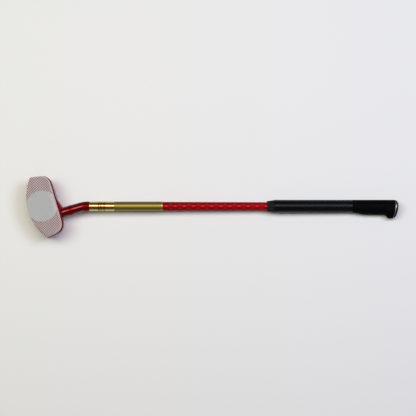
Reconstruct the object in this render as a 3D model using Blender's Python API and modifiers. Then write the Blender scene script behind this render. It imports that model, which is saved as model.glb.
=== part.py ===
# Ground golf club: a wooden head with one hitting face, a bent neck, a fibre shaft and a rubber grip.
# The club is built in its own frame: +X runs up the shaft to the butt, +Y points to the toe, +Z out of
# the hitting face, and the origin is where the neck's line meets the shaft's line. At the end the club
# is laid down on the flat back of its head and the butt of its grip. Lengths in metres, angles in radians.

import math

import bmesh
import bpy
import numpy as np
from mathutils import Vector

# Fits
SEAM = 0.0003                       # gap between two pieces that touch

# Head, seen square to the hitting face; its outline is a D whose straight side is the crown
LIE_TILT = math.radians(16.9)       # turn of the shaft's line away from the crown's normal
NECK_OFFSET = 0.0242                # middle of the head to the neck's line, towards the heel
FACE_HEIGHT = 0.0641                # crown edge to the lowest point of the sole
FACE_HALF_LENGTH = 0.0703           # middle of the head to its end, at the widest level
WIDEST_LEVEL = 0.038                # that level, below the crown edge
END_SLOPE = math.radians(9)         # lean of the toe and heel ends
SOLE_RADIUS = 0.114                 # rocker of the sole
CROWN_CORNER_RADIUS = 0.023
SOLE_CORNER_RADIUS = 0.0045

# Head, through its depth
NECK_DEPTH = 0.024                  # hitting face to the neck's line
HEAD_DEPTH = 0.058                  # hitting face to the flat back, at the middle of the head
FACE_THICKNESS = 0.003
BACKING_THICKNESS = 0.004
FACE_INSET = 0.0012                 # step from the backing's edge in to the plate's edge
PLATE_BEVEL = 0.0006
BODY_MARGIN = 0.0008                # wood beyond the backing at sole, toe and heel
CROWN_MARGIN = 0.0025               # wood beyond the backing at the crown
FRONT_EDGE_RADIUS = 0.004           # rounding of the crown's front edge
BACK_EDGE_RADIUS = 0.012
STRAIGHT_WALL = 0.012               # depth that toe and heel keep before the back curves in
BACK_HALF_LENGTH = 0.034            # half length of the head where the back ends
BACK_CORNER_RADIUS = 0.014          # corner from end to sole, at the back

# Hump on the crown round the neck, and the counterbore in it
HUMP_MIDDLE = 0.018                 # top of the hump, from the middle of the head towards the heel
HUMP_HEIGHT = 0.0078
HUMP_HALF_LENGTH = 0.026            # along the crown
HUMP_HALF_DEPTH = 0.021             # from face to back, each way from the neck's line
SEAT_LEVEL = 0.0035                 # floor of the counterbore, above the crown edge of the backing
COLLAR_RADIUS = 0.0114
COLLAR_THICKNESS = 0.0016
COLLAR_BEVEL = 0.0003

# Neck
NECK_RADIUS = 0.0105
NECK_LOWER_LENGTH = 0.039           # straight part from the collar to the bend
NECK_BEND_RADIUS = 0.075
NECK_TOP_LENGTH = 0.0014            # straight part from the bend to the ferrule
TENON_RADIUS = 0.007
TENON_LENGTH = 0.030                # below the counterbore's floor
SPIGOT_LENGTH = 0.045               # beyond the ferrule's start

# Sole plate and its screws
SOLE_PLATE_HALF_LENGTH = 0.040
SOLE_PLATE_WIDTH = 0.026
SOLE_PLATE_THICKNESS = 0.0022
SOLE_PLATE_LEVEL = -0.008           # middle of its width, from the neck's line
SOLE_PLATE_BEVEL = 0.0004
SCREW_SPREAD = 0.031                # middle of the sole to each screw, along the sole
SCREW_HEAD_RADIUS = 0.0034
SCREW_SHANK_RADIUS = 0.00175
SCREW_HEAD_HEIGHT = 0.0019
SCREW_LENGTH = 0.016
SCREW_SLOT_LENGTH = 0.0037
SCREW_SLOT_WIDTH = 0.0008
SCREW_SLOT_DEPTH = 0.0009

# Shaft and the gold pieces on it
SHAFT_LOW_RADIUS = 0.0099           # at the head end
SHAFT_HIGH_RADIUS = 0.0092          # at the grip
SHAFT_WALL = 0.0014
BARE_SHAFT_LENGTH = 0.2355
FERRULE_LENGTH = 0.0566
FERRULE_RADIUS = 0.0108
FERRULE_LIP = 0.006                 # end wall of the ferrule, which the neck's spigot passes
FERRULE_BEVEL = 0.0005
GROOVES = (0.0213, 0.0265, 0.0335)  # ferrule's start to the middle of each groove
GROOVE_WIDTH = 0.0016
GROOVE_DEPTH = 0.0007
SLEEVE_LENGTH = 0.1043
SLEEVE_WALL = 0.0004
SLEEVE_RING_LENGTH = 0.0033
SLEEVE_RING_PROUD = 0.0002          # ring's surface above the sleeve's

# Grip
COLLAR_LENGTH = 0.0155
COLLAR_MOUTH_RADIUS = 0.0116
LOWER_GRIP_LENGTH = 0.1775
LOWER_GRIP_RADIUS = 0.0146
GRIP_EDGE_RADIUS = 0.0008
HANDLE_LENGTH = 0.0963              # to the middle of its slanted end
HANDLE_TOP = 0.0146                 # shaft's line to the handle's toe side
HANDLE_SIDE = 0.0149                # shaft's line to the handle's front and back
HANDLE_SWELL = 0.0041               # growth of the heel side near the front
HANDLE_SWELL_LENGTH = 0.028
HANDLE_BELLY = 0.0010               # further growth up to the lip
LIP_DROP = 0.0080                   # further growth at the lip
LIP_RAMP = 0.011
LIP_LENGTH = 0.012                  # lip's crest to the handle's end
BUTT_SLANT = math.radians(5.0)

# Butt
RING_THICKNESS = 0.0014
RING_STEP = 0.0003                  # ring's edge below the handle's
CAP_HEIGHT = 0.0066
CAP_STEP = 0.0004                   # cap's edge below the handle's
CAP_CREST = -0.005                  # crest of the dome, off the shaft's line
CAP_LAST_TURN = math.radians(82)    # where the dome ends in a small flat
CAP_FULLNESS = 0.8                  # 1 is a round dome, and less is a fuller one
PLUG_STEM_LENGTH = 0.030
PLUG_FLANGE_THICKNESS = 0.003
PLUG_PIN_RADIUS = 0.0045
PLUG_PIN_REACH = 0.0045             # pin's length inside the cap

# Fineness of the surfaces, and the drawn size of a frame's mark
FRAME_MARK_SIZE = 0.03
ROUND_STEPS = 40
SMALL_ROUND_STEPS = 24
CROWN_STEPS = 12                    # on each side of the middle
SOLE_STEPS = 12
CORNER_STEPS = 5
EDGE_STEPS = 4
WALL_STEPS = 8

# Finishes: colour, roughness, metallic value and clear coat
FINISHES = {
    "printed_resin": ((0.45, 0.42, 0.42), 0.35, 0.0, 0.0),
    "white_resin": ((0.66, 0.66, 0.64), 0.45, 0.0, 0.0),
    "red_lacquer": ((0.26, 0.006, 0.012), 0.16, 0.3, 1.0),
    "brass": ((0.62, 0.45, 0.18), 0.35, 1.0, 0.0),
    "steel": ((0.55, 0.55, 0.56), 0.30, 1.0, 0.0),
    "red_paint": ((0.26, 0.006, 0.012), 0.16, 0.3, 1.0),
    "black_washer": ((0.02, 0.02, 0.02), 0.50, 0.0, 0.0),
    "polished_gold": ((0.80, 0.66, 0.36), 0.15, 1.0, 0.0),
    "satin_gold": ((0.56, 0.46, 0.18), 0.40, 1.0, 0.0),
    "bright_gold": ((0.72, 0.62, 0.28), 0.25, 1.0, 0.0),
    "red_shaft": ((0.36, 0.01, 0.014), 0.30, 0.0, 0.5),
    "speckled_rubber": ((0.05, 0.055, 0.05), 0.75, 0.0, 0.0),
    "textured_rubber": ((0.018, 0.018, 0.02), 0.45, 0.0, 0.0),
    "smooth_rubber": ((0.012, 0.012, 0.013), 0.55, 0.0, 0.0),
    "black_nylon": ((0.03, 0.03, 0.03), 0.50, 0.0, 0.0),
    "dull_gold": ((0.30, 0.29, 0.22), 0.40, 1.0, 0.0),
    "gloss_black": ((0.01, 0.01, 0.01), 0.08, 0.0, 1.0),
}

# Worked out from the sizes above
BEND_REACH = NECK_BEND_RADIUS * math.tan(LIE_TILT / 2)
COLLAR_LEVEL = SEAT_LEVEL + SEAM
NECK_LEVEL = COLLAR_LEVEL + COLLAR_THICKNESS + SEAM
NECK_REACH = NECK_LEVEL + NECK_LOWER_LENGTH + BEND_REACH

FERRULE_START = BEND_REACH + NECK_TOP_LENGTH + SEAM
SHAFT_START = FERRULE_START + FERRULE_LIP + SEAM
SLEEVE_START = FERRULE_START + FERRULE_LENGTH + SEAM
SLEEVE_RING_START = SLEEVE_START + SLEEVE_LENGTH + SEAM
BARE_SHAFT_START = SLEEVE_RING_START + SLEEVE_RING_LENGTH
COLLAR_START = BARE_SHAFT_START + BARE_SHAFT_LENGTH
LOWER_GRIP_START = COLLAR_START + COLLAR_LENGTH + 2 * SEAM
HANDLE_START = LOWER_GRIP_START + LOWER_GRIP_LENGTH + SEAM
HANDLE_END = HANDLE_START + HANDLE_LENGTH
RING_START = HANDLE_END + SEAM
CAP_START = RING_START + RING_THICKNESS + SEAM
BORE_SLANT = SHAFT_HIGH_RADIUS * math.tan(BUTT_SLANT)
SHAFT_END = HANDLE_END - BORE_SLANT - PLUG_FLANGE_THICKNESS - SEAM

SPIGOT_RADIUS = SHAFT_LOW_RADIUS - SHAFT_WALL - SEAM
SLEEVE_BORE = SHAFT_LOW_RADIUS + SEAM
SLEEVE_RADIUS = SLEEVE_BORE + SLEEVE_WALL
GRIP_BORE = SHAFT_HIGH_RADIUS + SEAM

BACKING_TOP = NECK_DEPTH - FACE_THICKNESS - SEAM
BODY_FRONT = BACKING_TOP - BACKING_THICKNESS - SEAM
SOLE_CENTRE = SOLE_RADIUS - FACE_HEIGHT
BODY_SOLE_RADIUS = SOLE_RADIUS + BODY_MARGIN

# The middle of the head's crown edge, and the lean of the club when it lies on its back
CROWN_NORMAL = Vector((math.cos(LIE_TILT), math.sin(LIE_TILT), 0))
HEELWARD = Vector((math.sin(LIE_TILT), -math.cos(LIE_TILT), 0))
HEAD_ORIGIN = -NECK_REACH * CROWN_NORMAL - NECK_OFFSET * HEELWARD
HEAD_MIDDLE = HEAD_ORIGIN - CROWN_NORMAL * (FACE_HEIGHT / 2)
BACK_LEVEL = NECK_DEPTH - HEAD_DEPTH
REST_SLOPE = (-HANDLE_SIDE - BACK_LEVEL) / (HANDLE_END - HEAD_MIDDLE.x)


# Scene, collections and materials

def clear_scene():
    for item in list(bpy.data.objects):
        bpy.data.objects.remove(item, do_unlink=True)
    for group in list(bpy.data.collections):
        bpy.data.collections.remove(group)


def new_collection(name):
    group = bpy.data.collections.new(name)
    bpy.context.scene.collection.children.link(group)
    return group


def new_material(name):
    colour, roughness, metallic, coat = FINISHES[name]
    material = bpy.data.materials.new(name)
    material.use_nodes = True
    shader = material.node_tree.nodes["Principled BSDF"]
    shader.inputs["Base Color"].default_value = (*colour, 1.0)
    shader.inputs["Roughness"].default_value = roughness
    shader.inputs["Metallic"].default_value = metallic
    shader.inputs["Coat Weight"].default_value = coat
    material.diffuse_color = (*colour, 1.0)
    return material


def new_empty(name, parent=None):
    empty = bpy.data.objects.new(name, None)
    empty.empty_display_size = FRAME_MARK_SIZE
    parts.objects.link(empty)
    empty.parent = parent
    return empty


# Shapes

def place(name, mesh, parent, finish=None):
    # Adds a mesh as a piece of the club or, where it has no finish, as a cutter.
    item = bpy.data.objects.new(name, mesh)
    item.parent = parent
    if finish is None:
        keep_as_cutter(item)
    else:
        parts.objects.link(item)
        mesh.materials.append(materials[finish])
    return item


def keep_as_cutter(item):
    cutters.objects.link(item)
    item.hide_render = True
    item.display_type = "WIRE"


def shade(item, angle=math.radians(30)):
    item.data.shade_smooth()
    item.data.set_sharp_from_angle(angle=angle)


def turned(name, profile, parent, finish=None, steps=ROUND_STEPS):
    # A turned piece: the profile lists (radius, height) down the outer side, then back up any bore.
    # A profile that starts and ends on the axis is a solid one, and any other is closed to a ring.
    mesh = bpy.data.meshes.new(name)
    points = [(radius, 0.0, height) for radius, height in profile]
    edges = [(i, i + 1) for i in range(len(points) - 1)]
    if profile[0][0] > 0:
        edges.append((len(points) - 1, 0))
    mesh.from_pydata(points, edges, [])
    item = place(name, mesh, parent, finish)
    screw = item.modifiers.new("turn", "SCREW")
    screw.axis = "Z"
    screw.angle = math.tau
    screw.steps = steps
    screw.render_steps = steps
    screw.use_merge_vertices = True
    screw.merge_threshold = 0.00001
    screw.use_smooth_shade = True
    return item


def tube_profile(inner, outer, low, high, bevel=0.0):
    # Section of a plain tube whose outer edges are bevelled.
    if bevel == 0:
        return [(outer, high), (outer, low), (inner, low), (inner, high)]
    return [(outer - bevel, high), (outer, high - bevel), (outer, low + bevel),
            (outer - bevel, low), (inner, low), (inner, high)]


def rod(name, radius, low, high, parent, steps=SMALL_ROUND_STEPS):
    # A plain round cutter or peg.
    return turned(name, [(0, high), (radius, high), (radius, low), (0, low)], parent, steps=steps)


def loft(name, rings, parent, finish):
    # A closed body through rings with equal numbers of points, with a flat face at each end.
    mesh = bpy.data.meshes.new(name)
    work = bmesh.new()
    rows = [[work.verts.new(point) for point in ring] for ring in rings]
    count = len(rows[0])
    for near, far in zip(rows, rows[1:]):
        for i in range(count):
            j = (i + 1) % count
            work.faces.new((near[i], near[j], far[j], far[i]))
    work.faces.new(rows[0])
    work.faces.new(rows[-1])
    bmesh.ops.recalc_face_normals(work, faces=work.faces)
    work.to_mesh(mesh)
    work.free()
    item = place(name, mesh, parent, finish)
    shade(item)
    return item


def flat_outline(name, points, low, high, parent, finish=None, bevel=0.0):
    # A plate: a closed flat curve given its thickness, as a mesh with welded caps.
    curve = bpy.data.curves.new(name, "CURVE")
    curve.dimensions = "2D"
    curve.fill_mode = "BOTH"
    curve.extrude = (high - low) / 2
    spline = curve.splines.new("POLY")
    spline.points.add(len(points) - 1)
    for point, (x, y) in zip(spline.points, points):
        point.co = (x, y, 0, 1)
    spline.use_cyclic_u = True
    item = place(name, mesh_from_curve(name, curve), parent, finish)
    item.location.z = (low + high) / 2
    if bevel > 0:
        add_bevel(item, bevel)
    shade(item)
    return item


def mesh_from_curve(name, curve):
    # The curve's surface as a mesh, its end caps welded on.
    guide = bpy.data.objects.new(name + "_curve", curve)
    cutters.objects.link(guide)
    bpy.context.view_layer.update()
    mesh = bpy.data.meshes.new_from_object(guide.evaluated_get(bpy.context.evaluated_depsgraph_get()))
    bpy.data.objects.remove(guide, do_unlink=True)
    mesh.name = name
    work = bmesh.new()
    work.from_mesh(mesh)
    bmesh.ops.remove_doubles(work, verts=work.verts, dist=0.000001)
    bmesh.ops.recalc_face_normals(work, faces=work.faces)
    work.to_mesh(mesh)
    work.free()
    return mesh


def add_bevel(item, width, segments=1):
    bevel = item.modifiers.new("edges", "BEVEL")
    bevel.width = width
    bevel.segments = segments
    bevel.limit_method = "ANGLE"
    bevel.angle_limit = math.radians(40)


def boolean(item, other, operation):
    step = item.modifiers.new(other.name, "BOOLEAN")
    step.operation = operation
    step.solver = "EXACT"
    step.object = other


def up_the_neck(item, level=0.0):
    # Stands a turned piece on the neck's line, its axis square to the crown.
    item.rotation_euler.x = -math.pi / 2
    item.location = (NECK_OFFSET, level, 0)


def along_shaft(item, station=0.0):
    # Lays a turned piece along the shaft's line.
    item.rotation_euler.y = math.pi / 2
    item.location.x = station


# Outline of the head

def arc(centre, radius, start, end, steps):
    turns = np.linspace(start, end, steps + 1)
    return [(centre[0] + radius * math.cos(a), centre[1] + radius * math.sin(a)) for a in turns]


def head_outline(half_length, crown, margin, crown_corner, sole_corner):
    # The D, from the middle of the crown round by the heel, sole and toe. Crown is the level of its
    # straight side, and margin moves its ends and its sole outwards. Each end leans, and its two
    # corners are circles that touch it: the upper one touches the crown, the lower one the sole.
    normal = np.array((math.cos(END_SLOPE), math.sin(END_SLOPE)))
    along = np.array((-normal[1], normal[0]))
    reach = normal @ np.array((half_length, -WIDEST_LEVEL)) + margin
    sole_middle = np.array((0.0, SOLE_CENTRE))
    sole_radius = SOLE_RADIUS + margin
    upper_level = crown - crown_corner
    upper = ((reach - crown_corner - normal[1] * upper_level) / normal[0], upper_level)
    foot = normal * (reach - sole_corner) - sole_middle
    lean = along @ foot
    drop = lean ** 2 - foot @ foot + (sole_radius - sole_corner) ** 2
    lower = foot + sole_middle - along * (lean + math.sqrt(drop))
    lower_turn = math.atan2(lower[1] - sole_middle[1], lower[0])
    half = [(upper[0] * i / CROWN_STEPS, crown) for i in range(CROWN_STEPS)]
    half += arc(upper, crown_corner, math.pi / 2, END_SLOPE, CORNER_STEPS)
    half += arc(lower, sole_corner, END_SLOPE, lower_turn, CORNER_STEPS)
    half += arc(sole_middle, sole_radius, lower_turn, -math.pi / 2, SOLE_STEPS)[1:]
    return half + [(-x, y) for x, y in half[-2:0:-1]]


def face_outline(inset):
    # Outline of the hitting plate and its backing.
    return head_outline(FACE_HALF_LENGTH, -inset, -inset, CROWN_CORNER_RADIUS - inset,
                        SOLE_CORNER_RADIUS - inset)


def rest_level(x, y):
    # Level of the floor under a point of the head frame, in the club's own frame.
    along_club = HEAD_ORIGIN.x + x * HEELWARD.x + y * CROWN_NORMAL.x
    return BACK_LEVEL + (along_club - HEAD_MIDDLE.x) * REST_SLOPE


def hump(x, depth):
    # Height of the hump over the plain crown: a rounded hill with its top beside the neck, to the toe.
    away = math.hypot((x - HUMP_MIDDLE) / HUMP_HALF_LENGTH, (BODY_FRONT - depth) / HUMP_HALF_DEPTH)
    return HUMP_HEIGHT * math.cos(min(away, 1) * math.pi / 2) ** 2


def body_sections():
    # Depth, half length, crown level, margin and both corner radii of each ring of the wooden body.
    total = BODY_FRONT - BACK_LEVEL
    rows = []
    for turn in np.linspace(0, math.pi / 2, EDGE_STEPS + 1):
        depth = FRONT_EDGE_RADIUS * (1 - math.cos(turn))
        crown = CROWN_MARGIN - FRONT_EDGE_RADIUS * (1 - math.sin(turn))
        rows.append((depth, crown, BODY_MARGIN * math.sin(turn)))
    for depth in np.linspace(FRONT_EDGE_RADIUS, total - BACK_EDGE_RADIUS, WALL_STEPS + 1)[1:]:
        rows.append((depth, CROWN_MARGIN, BODY_MARGIN))
    for turn in np.linspace(0, math.pi / 2, EDGE_STEPS + 2)[1:]:
        inset = BACK_EDGE_RADIUS * (1 - math.cos(turn))
        depth = total - BACK_EDGE_RADIUS * (1 - math.sin(turn))
        rows.append((depth, CROWN_MARGIN - inset, BODY_MARGIN - inset))
    sections = []
    for depth, crown, margin in rows:
        share = max(0.0, (depth - STRAIGHT_WALL) / (total - STRAIGHT_WALL))
        taper = (FACE_HALF_LENGTH - BACK_HALF_LENGTH) * math.sqrt(1 - share ** 2)
        corner = SOLE_CORNER_RADIUS + (BACK_CORNER_RADIUS - SOLE_CORNER_RADIUS) * share
        sections.append((depth, BACK_HALF_LENGTH + taper, crown, margin,
                         CROWN_CORNER_RADIUS + min(margin, 0), corner + min(margin, 0)))
    return sections


def body_rings():
    # The rings are square to the neck's plane up to the back edge, and lean over it into the floor's plane.
    total = BODY_FRONT - BACK_LEVEL
    rings = []
    for depth, half_length, crown, margin, crown_corner, sole_corner in body_sections():
        lean = max(0.0, 1 - (total - depth) / BACK_EDGE_RADIUS)
        ring = []
        for x, y in head_outline(half_length, crown, margin, crown_corner, sole_corner):
            share = min(max((y - crown + crown_corner) / crown_corner, 0), 1)
            raised = y + hump(x, depth) * share ** 2
            ring.append((x, raised, BODY_FRONT - depth + (rest_level(x, raised) - BACK_LEVEL) * lean))
        rings.append(ring)
    return rings


# Head

def sole_band(inner, outer, half_length):
    # Flat outline of a strip that follows the sole between two radii.
    spread = math.asin(half_length / SOLE_RADIUS)
    middle = (0.0, SOLE_CENTRE)
    down = -math.pi / 2
    return (arc(middle, outer, down - spread, down + spread, SOLE_STEPS)
            + arc(middle, inner, down + spread, down - spread, SOLE_STEPS))


def screw_direction(side):
    turn = side * SCREW_SPREAD / SOLE_RADIUS
    return Vector((math.sin(turn), -math.cos(turn), 0))


def on_the_sole(item, side):
    # Stands a turned piece in the sole with its top, at height 0, flush with the sole's surface.
    outward = screw_direction(side)
    item.rotation_euler = outward.to_track_quat("Z", "Y").to_euler()
    item.location = Vector((0, SOLE_CENTRE, SOLE_PLATE_LEVEL)) + outward * BODY_SOLE_RADIUS


def build_face_plate():
    flat_outline("face_plate", face_outline(FACE_INSET), NECK_DEPTH - FACE_THICKNESS, NECK_DEPTH,
                 head_frame, "printed_resin", PLATE_BEVEL)


def build_face_backing():
    flat_outline("face_backing", face_outline(0), BACKING_TOP - BACKING_THICKNESS, BACKING_TOP,
                 head_frame, "white_resin", PLATE_BEVEL)


def build_head_body():
    body = loft("head_body", body_rings(), head_frame, "red_lacquer")
    above_hump = SEAT_LEVEL + HUMP_HEIGHT + CROWN_MARGIN
    bore_end = SEAT_LEVEL - TENON_LENGTH - SEAM
    socket = turned("neck_socket", [(0, above_hump), (COLLAR_RADIUS + SEAM, above_hump),
                                    (COLLAR_RADIUS + SEAM, SEAT_LEVEL), (TENON_RADIUS + SEAM, SEAT_LEVEL),
                                    (TENON_RADIUS + SEAM, bore_end), (0, bore_end)], head_frame)
    up_the_neck(socket)
    recess_outline = sole_band(BODY_SOLE_RADIUS - SOLE_PLATE_THICKNESS - SEAM,
                               BODY_SOLE_RADIUS + SOLE_PLATE_THICKNESS, SOLE_PLATE_HALF_LENGTH + SEAM)
    recess = flat_outline("sole_recess", recess_outline, SOLE_PLATE_LEVEL - SOLE_PLATE_WIDTH / 2 - SEAM,
                          SOLE_PLATE_LEVEL + SOLE_PLATE_WIDTH / 2 + SEAM, head_frame)
    boolean(body, socket, "DIFFERENCE")
    boolean(body, recess, "DIFFERENCE")
    for side, end in ((-1, "toe"), (1, "heel")):
        pilot = rod("pilot_" + end, SCREW_SHANK_RADIUS + SEAM, -SCREW_LENGTH - SEAM, 0, head_frame)
        on_the_sole(pilot, side)
        boolean(body, pilot, "DIFFERENCE")


def build_sole_plate():
    outline = sole_band(BODY_SOLE_RADIUS - SOLE_PLATE_THICKNESS, BODY_SOLE_RADIUS, SOLE_PLATE_HALF_LENGTH)
    plate = flat_outline("sole_plate", outline, SOLE_PLATE_LEVEL - SOLE_PLATE_WIDTH / 2,
                         SOLE_PLATE_LEVEL + SOLE_PLATE_WIDTH / 2, head_frame, "brass", SOLE_PLATE_BEVEL)
    shank = SCREW_SHANK_RADIUS + SEAM
    countersink = [(0, SEAM), (SCREW_HEAD_RADIUS + 2 * SEAM, SEAM), (shank, -SCREW_HEAD_HEIGHT),
                   (shank, -SCREW_LENGTH), (0, -SCREW_LENGTH)]
    for side, end in ((-1, "toe"), (1, "heel")):
        sink = turned("sink_" + end, countersink, head_frame, steps=SMALL_ROUND_STEPS)
        on_the_sole(sink, side)
        boolean(plate, sink, "DIFFERENCE")


def cross_slot(screw, name, turn):
    # Cuts one bar of the screwdriver's cross into the head.
    bpy.ops.mesh.primitive_cube_add(size=1)
    slot = bpy.context.active_object
    for group in list(slot.users_collection):
        group.objects.unlink(slot)
    keep_as_cutter(slot)
    slot.name = name
    slot.parent = screw
    slot.scale = (SCREW_SLOT_LENGTH, SCREW_SLOT_WIDTH, 2 * SCREW_SLOT_DEPTH)
    slot.rotation_euler.z = turn
    slot.location.z = -SEAM
    boolean(screw, slot, "DIFFERENCE")


def build_sole_screws():
    top = -SEAM
    bottom = SEAM - SCREW_LENGTH
    profile = [(0, top), (SCREW_HEAD_RADIUS, top), (SCREW_SHANK_RADIUS, top - SCREW_HEAD_HEIGHT),
               (SCREW_SHANK_RADIUS, bottom + SCREW_SHANK_RADIUS), (SCREW_SHANK_RADIUS / 2, bottom),
               (0, bottom)]
    for side, end in ((-1, "toe"), (1, "heel")):
        screw = turned("sole_screw_" + end, profile, head_frame, "steel", SMALL_ROUND_STEPS)
        on_the_sole(screw, side)
        cross_slot(screw, "slot_a_" + end, 0)
        cross_slot(screw, "slot_b_" + end, math.pi / 2)


# Neck

def neck_path():
    # Straight up the neck's line, round the bend, and along the shaft's line to the ferrule.
    start = -(NECK_LOWER_LENGTH + BEND_REACH) * CROWN_NORMAL
    bend_start = -BEND_REACH * CROWN_NORMAL
    centre = bend_start + NECK_BEND_RADIUS * HEELWARD
    turns = np.linspace(math.pi / 2 + LIE_TILT, math.pi / 2, 2 * CORNER_STEPS + 1)
    bend = [centre + NECK_BEND_RADIUS * Vector((math.cos(a), math.sin(a), 0)) for a in turns]
    return [start] + bend + [Vector((FERRULE_START - SEAM, 0, 0))]


def build_neck():
    curve = bpy.data.curves.new("neck", "CURVE")
    curve.dimensions = "3D"
    curve.bevel_depth = NECK_RADIUS
    curve.bevel_resolution = ROUND_STEPS // 2 - 2
    curve.use_fill_caps = True
    path = neck_path()
    spline = curve.splines.new("POLY")
    spline.points.add(len(path) - 1)
    for point, station in zip(spline.points, path):
        point.co = (*station, 1)
    neck = place("neck", mesh_from_curve("neck", curve), club_frame, "red_paint")
    hold = NECK_RADIUS / 2
    tenon = rod("neck_tenon", TENON_RADIUS, SEAT_LEVEL - TENON_LENGTH, NECK_LEVEL + hold, head_frame)
    up_the_neck(tenon)
    spigot = rod("neck_spigot", SPIGOT_RADIUS, -hold, SPIGOT_LENGTH, club_frame)
    along_shaft(spigot, FERRULE_START)
    boolean(neck, tenon, "UNION")
    boolean(neck, spigot, "UNION")
    shade(neck)


def build_neck_collar():
    profile = tube_profile(TENON_RADIUS + SEAM, COLLAR_RADIUS, 0, COLLAR_THICKNESS, COLLAR_BEVEL)
    up_the_neck(turned("neck_collar", profile, head_frame, "black_washer"), COLLAR_LEVEL)


# Shaft and gold pieces

def build_ferrule():
    profile = [(FERRULE_RADIUS - FERRULE_BEVEL, FERRULE_LENGTH),
               (FERRULE_RADIUS, FERRULE_LENGTH - FERRULE_BEVEL)]
    for middle in reversed(GROOVES):
        profile += [(FERRULE_RADIUS, middle + GROOVE_WIDTH / 2),
                    (FERRULE_RADIUS - GROOVE_DEPTH, middle + GROOVE_WIDTH / 4),
                    (FERRULE_RADIUS - GROOVE_DEPTH, middle - GROOVE_WIDTH / 4),
                    (FERRULE_RADIUS, middle - GROOVE_WIDTH / 2)]
    profile += [(FERRULE_RADIUS, FERRULE_BEVEL), (FERRULE_RADIUS - FERRULE_BEVEL, 0),
                (SPIGOT_RADIUS + SEAM, 0), (SPIGOT_RADIUS + SEAM, FERRULE_LIP),
                (SLEEVE_BORE, FERRULE_LIP), (SLEEVE_BORE, FERRULE_LENGTH)]
    along_shaft(turned("ferrule", profile, club_frame, "polished_gold"), FERRULE_START)


def build_gold_sleeve():
    profile = tube_profile(SLEEVE_BORE, SLEEVE_RADIUS, 0, SLEEVE_LENGTH)
    along_shaft(turned("gold_sleeve", profile, club_frame, "satin_gold"), SLEEVE_START)


def build_sleeve_ring():
    radius = SLEEVE_RADIUS + SLEEVE_RING_PROUD
    profile = tube_profile(SLEEVE_BORE, radius, 0, SLEEVE_RING_LENGTH, SLEEVE_RING_PROUD)
    along_shaft(turned("sleeve_ring", profile, club_frame, "bright_gold"), SLEEVE_RING_START)


def build_shaft_tube():
    # The tube narrows over its bare length, and its wall stays the same all along.
    outer = [(SHAFT_HIGH_RADIUS, SHAFT_END), (SHAFT_HIGH_RADIUS, COLLAR_START),
             (SHAFT_LOW_RADIUS, BARE_SHAFT_START), (SHAFT_LOW_RADIUS, SHAFT_START)]
    inner = [(radius - SHAFT_WALL, station) for radius, station in reversed(outer)]
    along_shaft(turned("shaft_tube", outer + inner, club_frame, "red_shaft"))


# Grip

def build_grip_collar():
    # A cone that widens from its mouth to the grip.
    profile = [(LOWER_GRIP_RADIUS - GRIP_EDGE_RADIUS, COLLAR_LENGTH),
               (COLLAR_MOUTH_RADIUS, GRIP_EDGE_RADIUS), (COLLAR_MOUTH_RADIUS - GRIP_EDGE_RADIUS, 0),
               (GRIP_BORE, 0), (GRIP_BORE, COLLAR_LENGTH)]
    along_shaft(turned("grip_collar", profile, club_frame, "speckled_rubber"), COLLAR_START + SEAM)


def build_lower_grip():
    profile = tube_profile(GRIP_BORE, LOWER_GRIP_RADIUS, 0, LOWER_GRIP_LENGTH, GRIP_EDGE_RADIUS)
    along_shaft(turned("lower_grip", profile, club_frame, "textured_rubber"), LOWER_GRIP_START)


def smooth_step(value):
    value = min(max(value, 0), 1)
    return value * value * (3 - 2 * value)


def handle_drop(distance):
    # How far the handle's heel side lies from the shaft's line, at a distance from its front end.
    lip_start = HANDLE_LENGTH - LIP_LENGTH - LIP_RAMP
    return (LOWER_GRIP_RADIUS + HANDLE_SWELL * smooth_step(distance / HANDLE_SWELL_LENGTH)
            + HANDLE_BELLY * smooth_step(distance / HANDLE_LENGTH)
            + LIP_DROP * smooth_step((distance - lip_start) / LIP_RAMP))


def egg_ring(station, top, drop, side, slant, crest=0.0, scale=1.0):
    # Section of handle, ring and cap: half an ellipse to the toe side and a longer one to the heel side,
    # drawn in about the crest by the scale, on a plane that leans by the slant.
    ring = []
    for turn in np.linspace(0, math.tau, ROUND_STEPS, endpoint=False):
        y = math.cos(turn) * (top if math.cos(turn) > 0 else drop)
        z = math.sin(turn) * side
        y = crest + (y - crest) * scale
        ring.append((station + y * math.tan(slant), y, z * scale))
    return ring


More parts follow.
